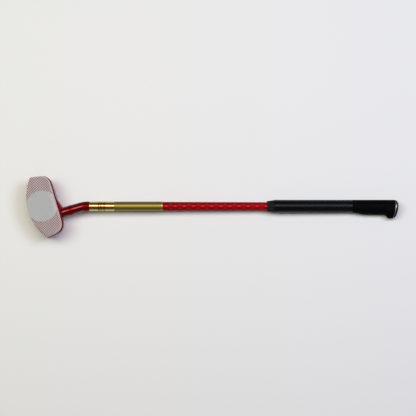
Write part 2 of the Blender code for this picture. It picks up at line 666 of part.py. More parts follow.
def build_upper_grip():
    lip_start = HANDLE_LENGTH - LIP_LENGTH - LIP_RAMP
    distances = list(np.linspace(0, HANDLE_SWELL_LENGTH, 7)[1:])
    distances += list(np.linspace(HANDLE_SWELL_LENGTH, lip_start, 4)[1:])
    distances += list(np.linspace(lip_start, lip_start + LIP_RAMP, 7)[1:])
    distances += [HANDLE_LENGTH - GRIP_EDGE_RADIUS]
    rings = [egg_ring(HANDLE_START, LOWER_GRIP_RADIUS, LOWER_GRIP_RADIUS, LOWER_GRIP_RADIUS, 0,
                      scale=1 - GRIP_EDGE_RADIUS / LOWER_GRIP_RADIUS),
             egg_ring(HANDLE_START + GRIP_EDGE_RADIUS, LOWER_GRIP_RADIUS, LOWER_GRIP_RADIUS,
                      LOWER_GRIP_RADIUS, 0)]
    for distance in distances:
        widening = smooth_step(distance / HANDLE_SWELL_LENGTH)
        side = LOWER_GRIP_RADIUS + (HANDLE_SIDE - LOWER_GRIP_RADIUS) * widening
        slant = BUTT_SLANT * smooth_step((distance - lip_start) / LIP_RAMP)
        rings.append(egg_ring(HANDLE_START + distance, HANDLE_TOP, handle_drop(distance), side, slant))
    rings.append(egg_ring(HANDLE_END, HANDLE_TOP, handle_drop(HANDLE_LENGTH), HANDLE_SIDE, BUTT_SLANT,
                          CAP_CREST, 1 - GRIP_EDGE_RADIUS / HANDLE_SIDE))
    handle = loft("upper_grip", rings, club_frame, "smooth_rubber")
    bore = rod("handle_bore", GRIP_BORE, HANDLE_START - LIP_LENGTH, HANDLE_END + LIP_LENGTH, club_frame,
               ROUND_STEPS)
    along_shaft(bore)
    boolean(handle, bore, "DIFFERENCE")


# Butt

def build_butt_plug():
    # Stem in the shaft's end, flange against that end, and a pin that holds the ring and the cap.
    stem = SHAFT_HIGH_RADIUS - SHAFT_WALL - SEAM
    flange_end = SHAFT_END + SEAM + PLUG_FLANGE_THICKNESS
    profile = [(0, CAP_START + PLUG_PIN_REACH), (PLUG_PIN_RADIUS, CAP_START + PLUG_PIN_REACH),
               (PLUG_PIN_RADIUS, flange_end), (SHAFT_HIGH_RADIUS, flange_end),
               (SHAFT_HIGH_RADIUS, SHAFT_END + SEAM), (stem, SHAFT_END + SEAM),
               (stem, SHAFT_END - PLUG_STEM_LENGTH), (0, SHAFT_END - PLUG_STEM_LENGTH)]
    along_shaft(turned("butt_plug", profile, club_frame, "black_nylon"))


def butt_outline(step, station, scale=1.0):
    # A section of the butt whose edge lies a step below the handle's.
    return egg_ring(station, HANDLE_TOP - step, handle_drop(HANDLE_LENGTH) - step, HANDLE_SIDE - step,
                    BUTT_SLANT, CAP_CREST, scale)


def build_trim_ring():
    rings = [butt_outline(RING_STEP, RING_START), butt_outline(RING_STEP, RING_START + RING_THICKNESS)]
    ring = loft("trim_ring", rings, club_frame, "dull_gold")
    hole = rod("ring_hole", PLUG_PIN_RADIUS + SEAM, RING_START - LIP_LENGTH, RING_START + LIP_LENGTH,
               club_frame)
    along_shaft(hole)
    boolean(ring, hole, "DIFFERENCE")


def build_end_cap():
    # A shallow dome: each ring shrinks towards the crest while it rises.
    rings = []
    for turn in np.linspace(0, CAP_LAST_TURN, WALL_STEPS):
        rise = CAP_HEIGHT * math.sin(turn)
        rings.append(butt_outline(CAP_STEP, CAP_START + rise, math.cos(turn) ** CAP_FULLNESS))
    cap = loft("end_cap", rings, club_frame, "gloss_black")
    hole = rod("cap_hole", PLUG_PIN_RADIUS + SEAM, CAP_START - LIP_LENGTH,
               CAP_START + PLUG_PIN_REACH + SEAM, club_frame)
    along_shaft(hole)
    boolean(cap, hole, "DIFFERENCE")


# Rest position

def lay_down():
    # Leans the club so that the head's back and the butt both touch the floor, with the middle of its
    # box above the origin and its lowest point at zero.
    club_frame.rotation_euler.y = math.atan(REST_SLOPE)
    bpy.context.view_layer.update()
    graph = bpy.context.evaluated_depsgraph_get()
    corners = []
    for item in parts.objects:
        if item.type == "MESH":
            seen = item.evaluated_get(graph)
            points = np.array([tuple(item.matrix_world @ vertex.co) for vertex in seen.data.vertices])
            corners += [points.min(axis=0), points.max(axis=0)]
    low = np.min(corners, axis=0)
    high = np.max(corners, axis=0)
    club_frame.location = (-(low[0] + high[0]) / 2, -(low[1] + high[1]) / 2, -low[2])
    bpy.context.view_layer.update()
    print("overall size in mm:", np.round((high - low) * 1000, 2))


clear_scene()
parts = new_collection("ground_golf_club")
cutters = new_collection("cutters")
materials = {name: new_material(name) for name in FINISHES}
club_frame = new_empty("club_frame")
head_frame = new_empty("head_frame", club_frame)
head_frame.location = HEAD_ORIGIN
head_frame.rotation_euler.z = LIE_TILT - math.pi / 2

build_face_plate()
build_face_backing()
build_head_body()
build_sole_plate()
build_sole_screws()
build_neck()
build_neck_collar()
build_ferrule()
build_gold_sleeve()
build_sleeve_ring()
build_shaft_tube()
build_grip_collar()
build_lower_grip()
build_upper_grip()
build_butt_plug()
build_trim_ring()
build_end_cap()
lay_down()
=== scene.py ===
# A ground golf club that lies face up on a pale floor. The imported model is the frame, and fine surfaces
# stand for its pieces. Lengths are in metres and angles in degrees, unless a note says otherwise.
# Three sets of axes are used. Head: x along the crown to the heel, y up the neck, z out of the face.
# Club: x up the shaft, y to the toe, z out of the face. Row: the club laid down on the floor.

import math

import bpy
import numpy as np
from mathutils import Matrix, Vector


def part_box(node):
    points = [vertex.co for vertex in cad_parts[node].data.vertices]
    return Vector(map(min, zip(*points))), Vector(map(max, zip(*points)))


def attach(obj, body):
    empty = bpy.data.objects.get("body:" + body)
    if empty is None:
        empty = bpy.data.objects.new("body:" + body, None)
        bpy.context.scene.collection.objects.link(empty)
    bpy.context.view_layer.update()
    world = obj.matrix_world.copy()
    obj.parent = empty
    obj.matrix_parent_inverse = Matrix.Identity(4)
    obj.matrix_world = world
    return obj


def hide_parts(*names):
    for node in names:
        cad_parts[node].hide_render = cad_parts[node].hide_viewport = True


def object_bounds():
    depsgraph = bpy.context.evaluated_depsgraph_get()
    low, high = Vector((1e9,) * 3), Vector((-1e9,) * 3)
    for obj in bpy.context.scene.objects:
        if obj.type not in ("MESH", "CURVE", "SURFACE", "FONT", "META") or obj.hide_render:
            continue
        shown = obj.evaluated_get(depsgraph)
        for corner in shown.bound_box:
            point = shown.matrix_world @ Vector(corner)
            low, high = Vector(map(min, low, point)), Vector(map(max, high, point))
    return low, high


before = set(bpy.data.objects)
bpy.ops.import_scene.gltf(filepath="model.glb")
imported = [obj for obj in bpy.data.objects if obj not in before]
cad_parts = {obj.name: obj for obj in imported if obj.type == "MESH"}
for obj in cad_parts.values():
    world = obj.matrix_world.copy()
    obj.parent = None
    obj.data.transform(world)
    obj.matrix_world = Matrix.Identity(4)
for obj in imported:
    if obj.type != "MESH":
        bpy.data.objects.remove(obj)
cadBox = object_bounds()
print("frame loaded:", len(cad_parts), "nodes")

scene = bpy.context.scene
xAxis, yAxis, zAxis = np.eye(3)
seam = 0.0003                          # gap between two pieces that touch
hair = 0.000001                        # room for rounding errors where radii are compared
edgeGuard = 1.6                        # edge radii from an edge to the ring that keeps its flat side flat

# Sizes that the CAD model shares; a change here belongs in the CAD source first

headSizes = {
    "lieTilt": 16.9,                   # shaft's line to the crown's normal
    "neckOffset": 0.0242,              # middle of the head to the neck's line
    "faceHeight": 0.0641,
    "halfLength": 0.0703,
    "widestLevel": 0.038,
    "endSlope": 9.0,
    "soleRadius": 0.114,
    "crownCorner": 0.023,
    "soleCorner": 0.0045,
    "neckDepth": 0.024,                # hitting face to the neck's line
    "depth": 0.058,
    "plateThickness": 0.003,
    "backingThickness": 0.004,
    "plateInset": 0.0012,
    "plateEdge": 0.0006,
}
bodySizes = {
    "margin": 0.0008,                  # wood beyond the backing at sole, toe and heel
    "crownMargin": 0.0025,
    "frontEdge": 0.004,
    "backEdge": 0.012,
    "straightWall": 0.012,
    "backHalfLength": 0.034,
    "backCorner": 0.014,
    "humpMiddle": 0.018,
    "humpHeight": 0.0078,
    "humpHalfLength": 0.026,
    "humpToeLength": 0.034,            # the scene's own; the CAD hump is alike on both sides
    "humpHalfDepth": 0.021,
    "seatLevel": 0.0035,
    "collarRadius": 0.0114,
    "collarThickness": 0.0016,
}
soleSizes = {
    "halfLength": 0.040,
    "width": 0.026,
    "thickness": 0.0022,
    "level": -0.008,
    "edge": 0.0004,
    "screwSpread": 0.031,
    "screwHead": 0.0034,
    "screwShank": 0.00175,
    "screwHeadHeight": 0.0019,
    "screwLength": 0.016,
    "slotLength": 0.0037,
    "slotWidth": 0.0008,
    "slotDepth": 0.0009,
}
neckSizes = {
    "radius": 0.0105,
    "lowerLength": 0.039,
    "bendRadius": 0.075,
    "topLength": 0.0014,
    "tenonRadius": 0.007,
    "tenonLength": 0.030,
    "spigotLength": 0.045,
}
shaftSizes = {
    "lowRadius": 0.0099,
    "highRadius": 0.0092,
    "wall": 0.0014,
    "bareLength": 0.2355,
    "ferruleLength": 0.0566,
    "ferruleRadius": 0.0108,
    "ferruleLip": 0.006,
    "grooves": (0.0213, 0.0265, 0.0335),
    "grooveWidth": 0.0016,
    "grooveDepth": 0.0007,
    "sleeveLength": 0.1043,
    "sleeveWall": 0.0004,
    "ringLength": 0.0033,
    "ringProud": 0.0002,
}
gripSizes = {
    "collarLength": 0.0155,
    "mouthRadius": 0.0116,
    "lowerLength": 0.1775,
    "radius": 0.0146,
    "edge": 0.0008,
    "handleLength": 0.0963,
    "handleTop": 0.0146,
    "handleSide": 0.0149,
    "swell": 0.0041,
    "swellLength": 0.028,
    "belly": 0.0010,
    "lipDrop": 0.0080,
    "lipRamp": 0.011,
    "lipLength": 0.012,
    "buttSlant": 5.0,
}
buttSizes = {
    "ringThickness": 0.0014,
    "ringStep": 0.0003,
    "capStep": 0.0004,
    "capCrest": -0.005,
    "capFullness": 0.8,
    "plugStem": 0.030,
    "plugFlange": 0.003,
    "pinRadius": 0.0045,
    "pinReach": 0.0045,
}

# Stations worked out from the sizes

lieTilt = math.radians(headSizes["lieTilt"])
bendReach = neckSizes["bendRadius"] * math.tan(lieTilt / 2)
collarLevel = bodySizes["seatLevel"] + seam
neckLevel = collarLevel + bodySizes["collarThickness"] + seam
neckReach = neckLevel + neckSizes["lowerLength"] + bendReach

ferruleStart = bendReach + neckSizes["topLength"] + seam
shaftStart = ferruleStart + shaftSizes["ferruleLip"] + seam
sleeveStart = ferruleStart + shaftSizes["ferruleLength"] + seam
ringStart = sleeveStart + shaftSizes["sleeveLength"] + seam
bareStart = ringStart + shaftSizes["ringLength"]
bareEnd = bareStart + shaftSizes["bareLength"]
gripCollarStart = bareEnd + seam
lowerGripStart = gripCollarStart + gripSizes["collarLength"] + seam
handleStart = lowerGripStart + gripSizes["lowerLength"] + seam
handleEnd = handleStart + gripSizes["handleLength"]
trimStart = handleEnd + seam
capStart = trimStart + buttSizes["ringThickness"] + seam
buttSlant = math.radians(gripSizes["buttSlant"])
shaftEnd = handleEnd - shaftSizes["highRadius"] * math.tan(buttSlant) - buttSizes["plugFlange"] - seam

spigotRadius = shaftSizes["lowRadius"] - shaftSizes["wall"] - seam
sleeveBore = shaftSizes["lowRadius"] + seam
gripBore = shaftSizes["highRadius"] + seam

backingTop = headSizes["neckDepth"] - headSizes["plateThickness"] - seam
bodyFront = backingTop - headSizes["backingThickness"] - seam
backLevel = headSizes["neckDepth"] - headSizes["depth"]
soleMiddle = headSizes["soleRadius"] - headSizes["faceHeight"]
bodySole = headSizes["soleRadius"] + bodySizes["margin"]

crownNormal = np.array((math.cos(lieTilt), math.sin(lieTilt), 0.0))
heelward = np.array((math.sin(lieTilt), -math.cos(lieTilt), 0.0))
headOrigin = -neckReach * crownNormal - headSizes["neckOffset"] * heelward
headMiddle = headOrigin - crownNormal * (headSizes["faceHeight"] / 2)
restSlope = (-gripSizes["handleSide"] - backLevel) / (handleEnd - headMiddle[0])
restLean = math.atan(restSlope)

# The shaft tube's box says where the club's own origin lies in the row
tubeLow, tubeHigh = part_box("shaft_tube")
clubOrigin = np.array((
    tubeLow.x - shaftStart * math.cos(restLean) + shaftSizes["lowRadius"] * math.sin(restLean),
    (tubeLow.y + tubeHigh.y) / 2,
    tubeHigh.z + shaftStart * math.sin(restLean) - shaftSizes["lowRadius"] * math.cos(restLean)))


def fromClub(points):
    # Club to row: turned about y by the rest lean, then moved to the club's origin.
    x, y, z = np.moveaxis(points, -1, 0)
    leaned = np.stack([x * math.cos(restLean) + z * math.sin(restLean), y,
                       z * math.cos(restLean) - x * math.sin(restLean)], axis=-1)
    return leaned + clubOrigin


def fromHead(points):
    # Head to row: middle of the crown edge, plus x along the crown and y up its normal, then as the club.
    x, y, z = np.moveaxis(points[..., None], -2, 0)
    return fromClub(headOrigin + x * heelward + y * crownNormal + z * zAxis)


# Surfaces

def addMesh(name, points, faces, cornerUv=None, marks=None):
    # A mesh from whole arrays: faces is a list of index arrays, each with one row a face.
    mesh = bpy.data.meshes.new(name)
    corners = np.concatenate([part.ravel() for part in faces])
    sizes = np.concatenate([np.full(len(part), part.shape[1]) for part in faces])
    mesh.vertices.add(len(points))
    mesh.vertices.foreach_set("co", points.astype(np.float32).ravel())
    mesh.loops.add(len(corners))
    mesh.loops.foreach_set("vertex_index", corners.astype(np.int32))
    mesh.polygons.add(len(sizes))
    mesh.polygons.foreach_set("loop_start", (np.cumsum(sizes) - sizes).astype(np.int32))
    if cornerUv is not None:
        layer = mesh.uv_layers.new(name="surface")
        layer.data.foreach_set("uv", cornerUv.astype(np.float32).ravel())
    for label, values in (marks or {}).items():
        attribute = mesh.attributes.new(label, "FLOAT", "POINT")
        attribute.data.foreach_set("value", values.astype(np.float32))
    mesh.update(calc_edges=True)
    mesh.validate()
    return mesh


def gridMesh(name, grid, uv, closedRows=False, marks=None):
    # A closed skin over rows of rings. The last column joins the first, and with closedRows the last row
    # joins the first too; otherwise the first and the last row each get a fan to their middle point.
    # uv has one column more than the grid, so that a pattern runs on over the join.
    rows, columns = grid.shape[:2]
    points = grid.reshape(-1, 3)
    row = np.arange(rows if closedRows else rows - 1)[:, None]
    below = (row + 1) % rows
    here = np.arange(columns)
    there = (here + 1) % columns
    quads = np.stack([row * columns + here, row * columns + there,
                      below * columns + there, below * columns + here], axis=-1).reshape(-1, 4)
    uvHere, uvBelow = uv[:len(row)], np.roll(uv, -1, axis=0)[:len(row)]
    quadUv = np.stack([uvHere[:, :-1], uvHere[:, 1:], uvBelow[:, 1:], uvBelow[:, :-1]], axis=2).reshape(-1, 2)
    faces, uvs = [quads], [quadUv]
    marks = marks or {}
    values = {label: np.broadcast_to(value, (rows, columns)).ravel() for label, value in marks.items()}
    fans = () if closedRows else ((0, -1), (rows - 1, 1))
    for edge, way in fans:
        first, second = (here, there)[::way]
        middle = np.full(columns, len(points))
        faces.append(np.stack([edge * columns + first, edge * columns + second, middle], axis=-1))
        centre = np.broadcast_to(uv[edge, :-1].mean(axis=0), (columns, 2))
        uvs.append(np.stack([*(uv[edge, :-1], uv[edge, 1:])[::way], centre], axis=1).reshape(-1, 2))
        points = np.concatenate([points, grid[edge].mean(axis=0)[None]])
        values = {label: np.append(value, value[edge * columns]) for label, value in values.items()}
    return addMesh(name, points, faces, np.concatenate(uvs), values)


def finishPiece(name, mesh, material, nodes, sharpAngle=35):
    # Shows a mesh as a piece that rides on the club and stands for its CAD nodes.
    mesh.shade_smooth()
    mesh.set_sharp_from_angle(angle=math.radians(sharpAngle))
    mesh.materials.clear()
    mesh.materials.append(material)
    piece = bpy.data.objects.new(name, mesh)
    scene.collection.objects.link(piece)
    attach(piece, "root")
    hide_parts(*nodes)


def cutAway(name, mesh, cutters):
    # The mesh less its cutters, each a mesh of its own, as one new mesh.
    helpers = [bpy.data.objects.new(name + "Helper", part) for part in (mesh, *cutters)]
    whole = helpers[0]
    for helper in helpers:
        scene.collection.objects.link(helper)
    for helper in helpers[1:]:
        step = whole.modifiers.new("cut", "BOOLEAN")
        step.operation = "DIFFERENCE"
        step.solver = "EXACT"
        step.object = helper
    bpy.context.view_layer.update()
    result = bpy.data.meshes.new_from_object(whole.evaluated_get(bpy.context.evaluated_depsgraph_get()))
    result.name = name
    for helper in helpers:
        bpy.data.objects.remove(helper, do_unlink=True)
    return result


def smoothStep(value):
    value = np.clip(value, 0, 1)
    return value * value * (3 - 2 * value)


def quarterTurn(count):
    return np.radians(np.linspace(0, 90, count))


def asColumns(*values):
    # Single numbers and lists of numbers as columns of one length.
    return [value.astype(float)[:, None] for value in np.broadcast_arrays(*map(np.atleast_1d, values))]


def roundedProfile(corners, closed=True):
    # Corners are (along, radius, rounding). Each rounding is the arc that touches both sides of its
    # corner: it starts at rounding / tan(half the corner's angle) from the corner, and its middle lies
    # on the corner's bisector. One more point on each side keeps the flats flat when shaded smooth.
    arcSteps, flatGuard = 5, 1.5
    points = np.array([corner[:2] for corner in corners])
    rows = []
    for i, (*_, rounding) in enumerate(corners):
        here = points[i]
        if rounding == 0 or (not closed and i in (0, len(corners) - 1)):
            rows.append(here[None])
            continue
        before, after = points[i - 1] - here, points[(i + 1) % len(points)] - here
        before, after = before / np.hypot(*before), after / np.hypot(*after)
        half = math.acos(float(np.clip(before @ after, -1, 1))) / 2
        reach = rounding / math.tan(half)
        bisector = (before + after) / np.hypot(*(before + after))
        middle = here + bisector * rounding / math.sin(half)
        start, end = here + before * reach - middle, here + after * reach - middle
        share = np.linspace(0, 1, arcSteps)[:, None]
        whole = math.pi - 2 * half
        arc = (np.sin((1 - share) * whole) * start + np.sin(share * whole) * end) / math.sin(whole)
        rows += [(here + before * reach * flatGuard)[None], middle + arc,
                 (here + after * reach * flatGuard)[None]]
    return np.concatenate(rows)


def refined(profile, radius, count):
    # The profile with more points along its plain outside of this radius, count from end to end.
    split = int(np.argmax(np.diff(profile[:, 0]) * (profile[:-1, 1] > radius - hair)))
    runs = np.linspace(profile[split, 0], profile[split + 1, 0], count)[1:-1]
    outside = np.stack([runs, np.full(len(runs), radius)], axis=-1)
    return np.concatenate([profile[:split + 1], outside, profile[split + 1:]])


def spun(along, radius, columns, origin=0.0, axis=xAxis, first=yAxis, second=zAxis):
    # Rings round a line: origin + along * axis + radius * (cos(angle) * first + sin(angle) * second).
    angle = np.linspace(0, math.tau, columns, endpoint=False)[None, :, None]
    circle = np.cos(angle) * first + np.sin(angle) * second
    return origin + along[..., None] * axis + radius[..., None] * circle


def turnUv(along, columns):
    # Turns round the piece and metres along it, in one column more than the rings have.
    return np.stack(np.broadcast_arrays(np.linspace(0, 1, columns + 1), along), axis=-1)


def ringUv(grid):
    # The same for any rings, with the metres from ring to ring taken along their first column.
    steps = np.linalg.norm(np.diff(grid[:, 0], axis=0), axis=-1)
    return turnUv(np.concatenate([[0.0], np.cumsum(steps)])[:, None], grid.shape[1])


def turnedMesh(name, corners, closed=True, columns=120):
    # A profile of (along, radius) turned round the club's x axis.
    along, radius = roundedProfile(corners, closed).T[..., None]
    return gridMesh(name, fromClub(spun(along, radius, columns)), turnUv(along, columns), closed)


# Shader groups and materials

noiseRange = (0.3, 0.7)                # where nearly all of a noise texture's values lie
wearRange = (0.95, 1.1)                # edge mark plus noise, where rubbing begins and where it is full


class Network:
    # Short ways to add nodes to one node tree. An input that is a socket is linked, any other is set.
    def __init__(self, tree):
        self.tree = tree

    def add(self, kind, inputs=None, **settings):
        item = self.tree.nodes.new(kind)
        item.location = (180 * (len(self.tree.nodes) % 12) - 1500, -260 * (len(self.tree.nodes) // 12))
        for label, value in settings.items():
            setattr(item, label, value)
        for label, value in (inputs or {}).items():
            if isinstance(value, bpy.types.NodeSocket):
                self.tree.links.new(value, item.inputs[label])
            else:
                item.inputs[label].default_value = value
        return item

    def calc(self, operation, *values):
        return self.add("ShaderNodeMath", dict(enumerate(values)), operation=operation).outputs[0]

    def ramp(self, value, low, high, toLow=0.0, toHigh=1.0, curve="LINEAR"):
        inputs = {"Value": value, "From Min": low, "From Max": high, "To Min": toLow, "To Max": toHigh}
        return self.add("ShaderNodeMapRange", inputs, interpolation_type=curve).outputs["Result"]

    def mix(self, share, *colours):
        # The node's sockets 6 and 7 are its two colours.
        first, second = [(*colour, 1.0) if isinstance(colour, tuple) else colour for colour in colours]
        return self.add("ShaderNodeMix", {"Factor": share, 6: first, 7: second}, data_type="RGBA").outputs[2]

    def use(self, group, inputs):
        return self.add("ShaderNodeGroup", inputs, node_tree=group).outputs


class Group(Network):
    # A shader group. Its inputs are numbers with a start value, or a vector where that value is None.
    def __init__(self, name, inputs, outputs):
        super().__init__(bpy.data.node_groups.new(name, "ShaderNodeTree"))
        for label, value in inputs.items():
            kind = "NodeSocketVector" if value is None else "NodeSocketFloat"
            socket = self.tree.interface.new_socket(label, in_out="INPUT", socket_type=kind)
            if value is not None:
                socket.default_value = value
        for label in outputs:
            self.tree.interface.new_socket(label, in_out="OUTPUT", socket_type="NodeSocketFloat")
        self.given = self.add("NodeGroupInput").outputs
        self.result = self.add("NodeGroupOutput").inputs

    def texture(self, kind, inputs=None, **settings):
        # A texture node that reads the group's own Vector and Scale.
        shared = {label: self.given[label] for label in ("Vector", "Scale")}
        return self.add(kind, {**shared, **(inputs or {})}, **settings).outputs

    def give(self, label, socket):
        self.tree.links.new(socket, self.result[label])


def buildMottle():
    # Slow unevenness: soft noise brought to the range from Low to High.
    group = Group("mottle", {"Vector": None, "Scale": 40.0, "Low": 0.0, "High": 1.0}, ["Value"])
    noise = group.texture("ShaderNodeTexNoise", {"Detail": 3.0, "Roughness": 0.55})[0]
    group.give("Value", group.ramp(noise, *noiseRange, group.given["Low"], group.given["High"]))
    return group.tree


def buildSpecks():
    # Small grains: cells of a Voronoi pattern, of which Share carry a speck of the size Size (in cells).
    group = Group("specks", {"Vector": None, "Scale": 900.0, "Share": 0.2, "Size": 0.3}, ["Mask"])
    cells = group.texture("ShaderNodeTexVoronoi")
    near = group.calc("LESS_THAN", cells["Distance"], group.given["Size"])
    split = group.add("ShaderNodeSeparateColor", {"Color": cells["Color"]}).outputs
    chosen = group.calc("LESS_THAN", split[0], group.given["Share"])
    group.give("Mask", group.calc("MULTIPLY", near, chosen))
    return group.tree


def buildBrushing():
    # Fine drawn lines: noise that the Vector has stretched, as a value around one half.
    group = Group("brushing", {"Vector": None, "Scale": 60.0}, ["Value"])
    group.give("Value", group.texture("ShaderNodeTexNoise", {"Detail": 6.0, "Roughness": 0.7})[0])
    return group.tree


def buildWear():
    # Rubbed edges: the piece's own edge mark, broken up by noise, above what Amount leaves.
    group = Group("edgeWear", {"Vector": None, "Edge": 0.0, "Scale": 120.0, "Amount": 0.5}, ["Mask"])
    noise = group.texture("ShaderNodeTexNoise", {"Detail": 4.0})[0]
    worn = group.calc("MULTIPLY", group.given["Edge"], group.given["Amount"])
    group.give("Mask", group.ramp(group.calc("ADD", worn, noise), *wearRange))
    return group.tree


def buildLattice():
    # Diamonds from two families of slanting lines. With p turns round the piece and q periods along it,
    # a spot is brightest where p + q and p - q are both half way between two whole numbers.
    group = Group("diamondLattice", {"Around": 0.0, "Along": 0.0, "Columns": 6.0, "Period": 0.02}, ["Spots"])
    p = group.calc("MULTIPLY", group.given["Around"], group.given["Columns"])
    q = group.calc("DIVIDE", group.given["Along"], group.given["Period"])
    sides = []
    for operation in ("ADD", "SUBTRACT"):
        part = group.calc("FRACT", group.calc(operation, p, q))
        centred = group.calc("ABSOLUTE", group.calc("SUBTRACT", part, 0.5))
        sides.append(group.calc("MULTIPLY_ADD", centred, -2.0, 1.0))
    group.give("Spots", group.calc("MULTIPLY", *sides))
    return group.tree


def buildGrain():
    # Fine pebbled grain of rubber, resin and paint, as a height.
    group = Group("fineGrain", {"Vector": None, "Scale": 900.0}, ["Height"])
    group.give("Height", group.texture("ShaderNodeTexVoronoi", feature="SMOOTH_F1")["Distance"])
    return group.tree


mottle = buildMottle()
specks = buildSpecks()
brushing = buildBrushing()
edgeWear = buildWear()
diamondLattice = buildLattice()
fineGrain = buildGrain()
print("shader groups built:", len(bpy.data.node_groups))


class Finish(Network):
    # A material with its shader, the coordinates that patterns read, and the patterns themselves.
    def __init__(self, name, colour, roughness, metallic=0.0, coat=0.0, coatRoughness=0.03, specular=0.5):
        self.material = bpy.data.materials.new(name)
        self.material.use_nodes = True
        self.material.diffuse_color = (*colour, 1.0)
        super().__init__(self.material.node_tree)
        self.roughness = roughness
        self.shader = self.tree.nodes["Principled BSDF"].inputs
        for label, value in (("Base Color", (*colour, 1.0)), ("Roughness", roughness), ("Metallic", metallic),
                             ("Coat Weight", coat), ("Coat Roughness", coatRoughness),
                             ("Specular IOR Level", specular)):
            self.shader[label].default_value = value
        self.place = self.add("ShaderNodeTexCoord").outputs["Object"]

    def feed(self, label, socket):
        self.tree.links.new(socket, self.shader[label])

    def surface(self):
        # The piece's own map: turns round it, or metres across it, and metres along it.
        flat = self.add("ShaderNodeUVMap", uv_map="surface").outputs[0]
        return self.add("ShaderNodeSeparateXYZ", {0: flat}).outputs[:2]

    def mark(self, label):
        return self.add("ShaderNodeAttribute", attribute_name=label).outputs["Fac"]

    def cloud(self, scale, low=0.0, high=1.0):
        return self.use(mottle, {"Vector": self.place, "Scale": scale, "Low": low, "High": high})["Value"]

    def dots(self, scale, share, size):
        return self.use(specks, {"Vector": self.place, "Scale": scale, "Share": share, "Size": size})["Mask"]

    def drawn(self, scale, stretch=(1.0, 1.0, 1.0)):
        # Lines along the axes whose stretch is the smallest.
        vector = self.add("ShaderNodeMapping", {"Vector": self.place, "Scale": stretch}).outputs[0]
        return self.use(brushing, {"Vector": vector, "Scale": scale})["Value"]

    def worn(self, edge, scale, amount):
        inputs = {"Vector": self.place, "Edge": edge, "Scale": scale, "Amount": amount}
        return self.use(edgeWear, inputs)["Mask"]

    def paint(self, colour, *layers):
        # The base colour: one colour with others over it, each as mask, colour and, if below 1, strength.
        for mask, over, *strength in layers:
            colour = self.mix(self.calc("MULTIPLY", mask, *strength) if strength else mask, colour, over)
        self.feed("Base Color", colour)

    def mottledRoughness(self, scale, less, more):
        self.feed("Roughness", self.cloud(scale, self.roughness - less, self.roughness + more))

    def brushedRoughness(self, lines, less, more):
        self.feed("Roughness", self.ramp(lines, *noiseRange, self.roughness - less, self.roughness + more))

    def bump(self, height, strength, distance):
        inputs = {"Height": height, "Strength": strength, "Distance": distance}
        self.feed("Normal", self.add("ShaderNodeBump", inputs).outputs[0])

    def grain(self, scale, strength, distance):
        self.bump(self.use(fineGrain, {"Vector": self.place, "Scale": scale})["Height"], strength, distance)


# Hitting plate: plain round middle, a fine check at toe and heel, and a bare band along the crown edge

plateLook = {
    "grey": (0.369, 0.380, 0.395),
    "band": (0.435, 0.449, 0.466),
    "rim": (0.480, 0.495, 0.502),
    "checkDark": (0.110, 0.012, 0.018),
    "checkPale": (0.560, 0.434, 0.443),
    "checkCool": (0.265, 0.238, 0.241),
    "wave": 0.0056,                    # one period of the check, which lies square to the shaft
    "darkWave": (0.0, 0.38),           # products of the two waves between which the dark red comes in
    "paleWave": (-0.05, -0.5),         # and between which the pale colour does
    "circleMiddle": -0.032,
    "circleRadius": 0.0346,
    "softEdge": 0.0003,                # half the width over which circle and rim fade
    "bandLow": -0.012,
    "bandFade": 0.008,
    "rimWidth": 0.0009,
    "rimFoot": -0.030,                 # the rim runs along the crown and round its corners to here
    "rimFade": 0.004,
    "dust": (0.60, 0.60, 0.58),
    "rubbed": (0.55, 0.55, 0.54),
    "roughness": 0.42,
    "specular": 0.3,
    "frontRings": (0.018, 0.004, 0.0013),  # insets of the rings on a slab's front
    "frontGuard": 1.1,                 # edge radii from the edge to the last of them
    "backRing": 0.004,
    "leastCorner": 0.0002,             # no ring's lower corner is sharper than this
}


def printedFace():
    look = plateLook
    finish = Finish("printedFace", look["grey"], look["roughness"], specular=look["specular"])
    calc, ramp, soft = finish.calc, finish.ramp, look["softEdge"]
    across, up = finish.surface()
    squares = [calc("POWER", side, 2.0) for side in (across, calc("SUBTRACT", up, look["circleMiddle"]))]
    away, radius = calc("SQRT", calc("ADD", *squares)), look["circleRadius"]
    outside = ramp(away, radius - soft, radius + soft)
    # Check: two waves at right angles, dark red where both agree and pale where they differ
    waves = []
    for first, second in ((math.cos(lieTilt), -math.sin(lieTilt)), (math.sin(lieTilt), math.cos(lieTilt))):
        slanted = calc("ADD", calc("MULTIPLY", across, first), calc("MULTIPLY", up, second))
        waves.append(calc("SINE", calc("MULTIPLY", slanted, math.tau / look["wave"])))
    both = calc("MULTIPLY", *waves)
    dark = calc("MULTIPLY", ramp(both, *look["darkWave"]), finish.cloud(scale=160.0, low=0.55))
    check = finish.mix(dark, look["checkCool"], look["checkDark"])
    check = finish.mix(ramp(both, *look["paleWave"]), check, look["checkPale"])
    band = ramp(up, look["bandLow"], look["bandLow"] + look["bandFade"], curve="SMOOTHSTEP")
    rim = calc("MULTIPLY", ramp(finish.mark("inset"), look["rimWidth"] + soft, look["rimWidth"] - soft),
               ramp(up, look["rimFoot"], look["rimFoot"] + look["rimFade"]))
    finish.paint(look["grey"], (band, look["band"]), (outside, check), (rim, look["rim"]),
                 (finish.dots(scale=700.0, share=0.03, size=0.25), look["dust"], 0.25),
                 (finish.worn(finish.mark("edge"), scale=260.0, amount=0.45), look["rubbed"]))
    finish.mottledRoughness(scale=60.0, less=0.05, more=0.07)
    finish.grain(scale=1500.0, strength=0.15, distance=0.00005)
    return finish.material


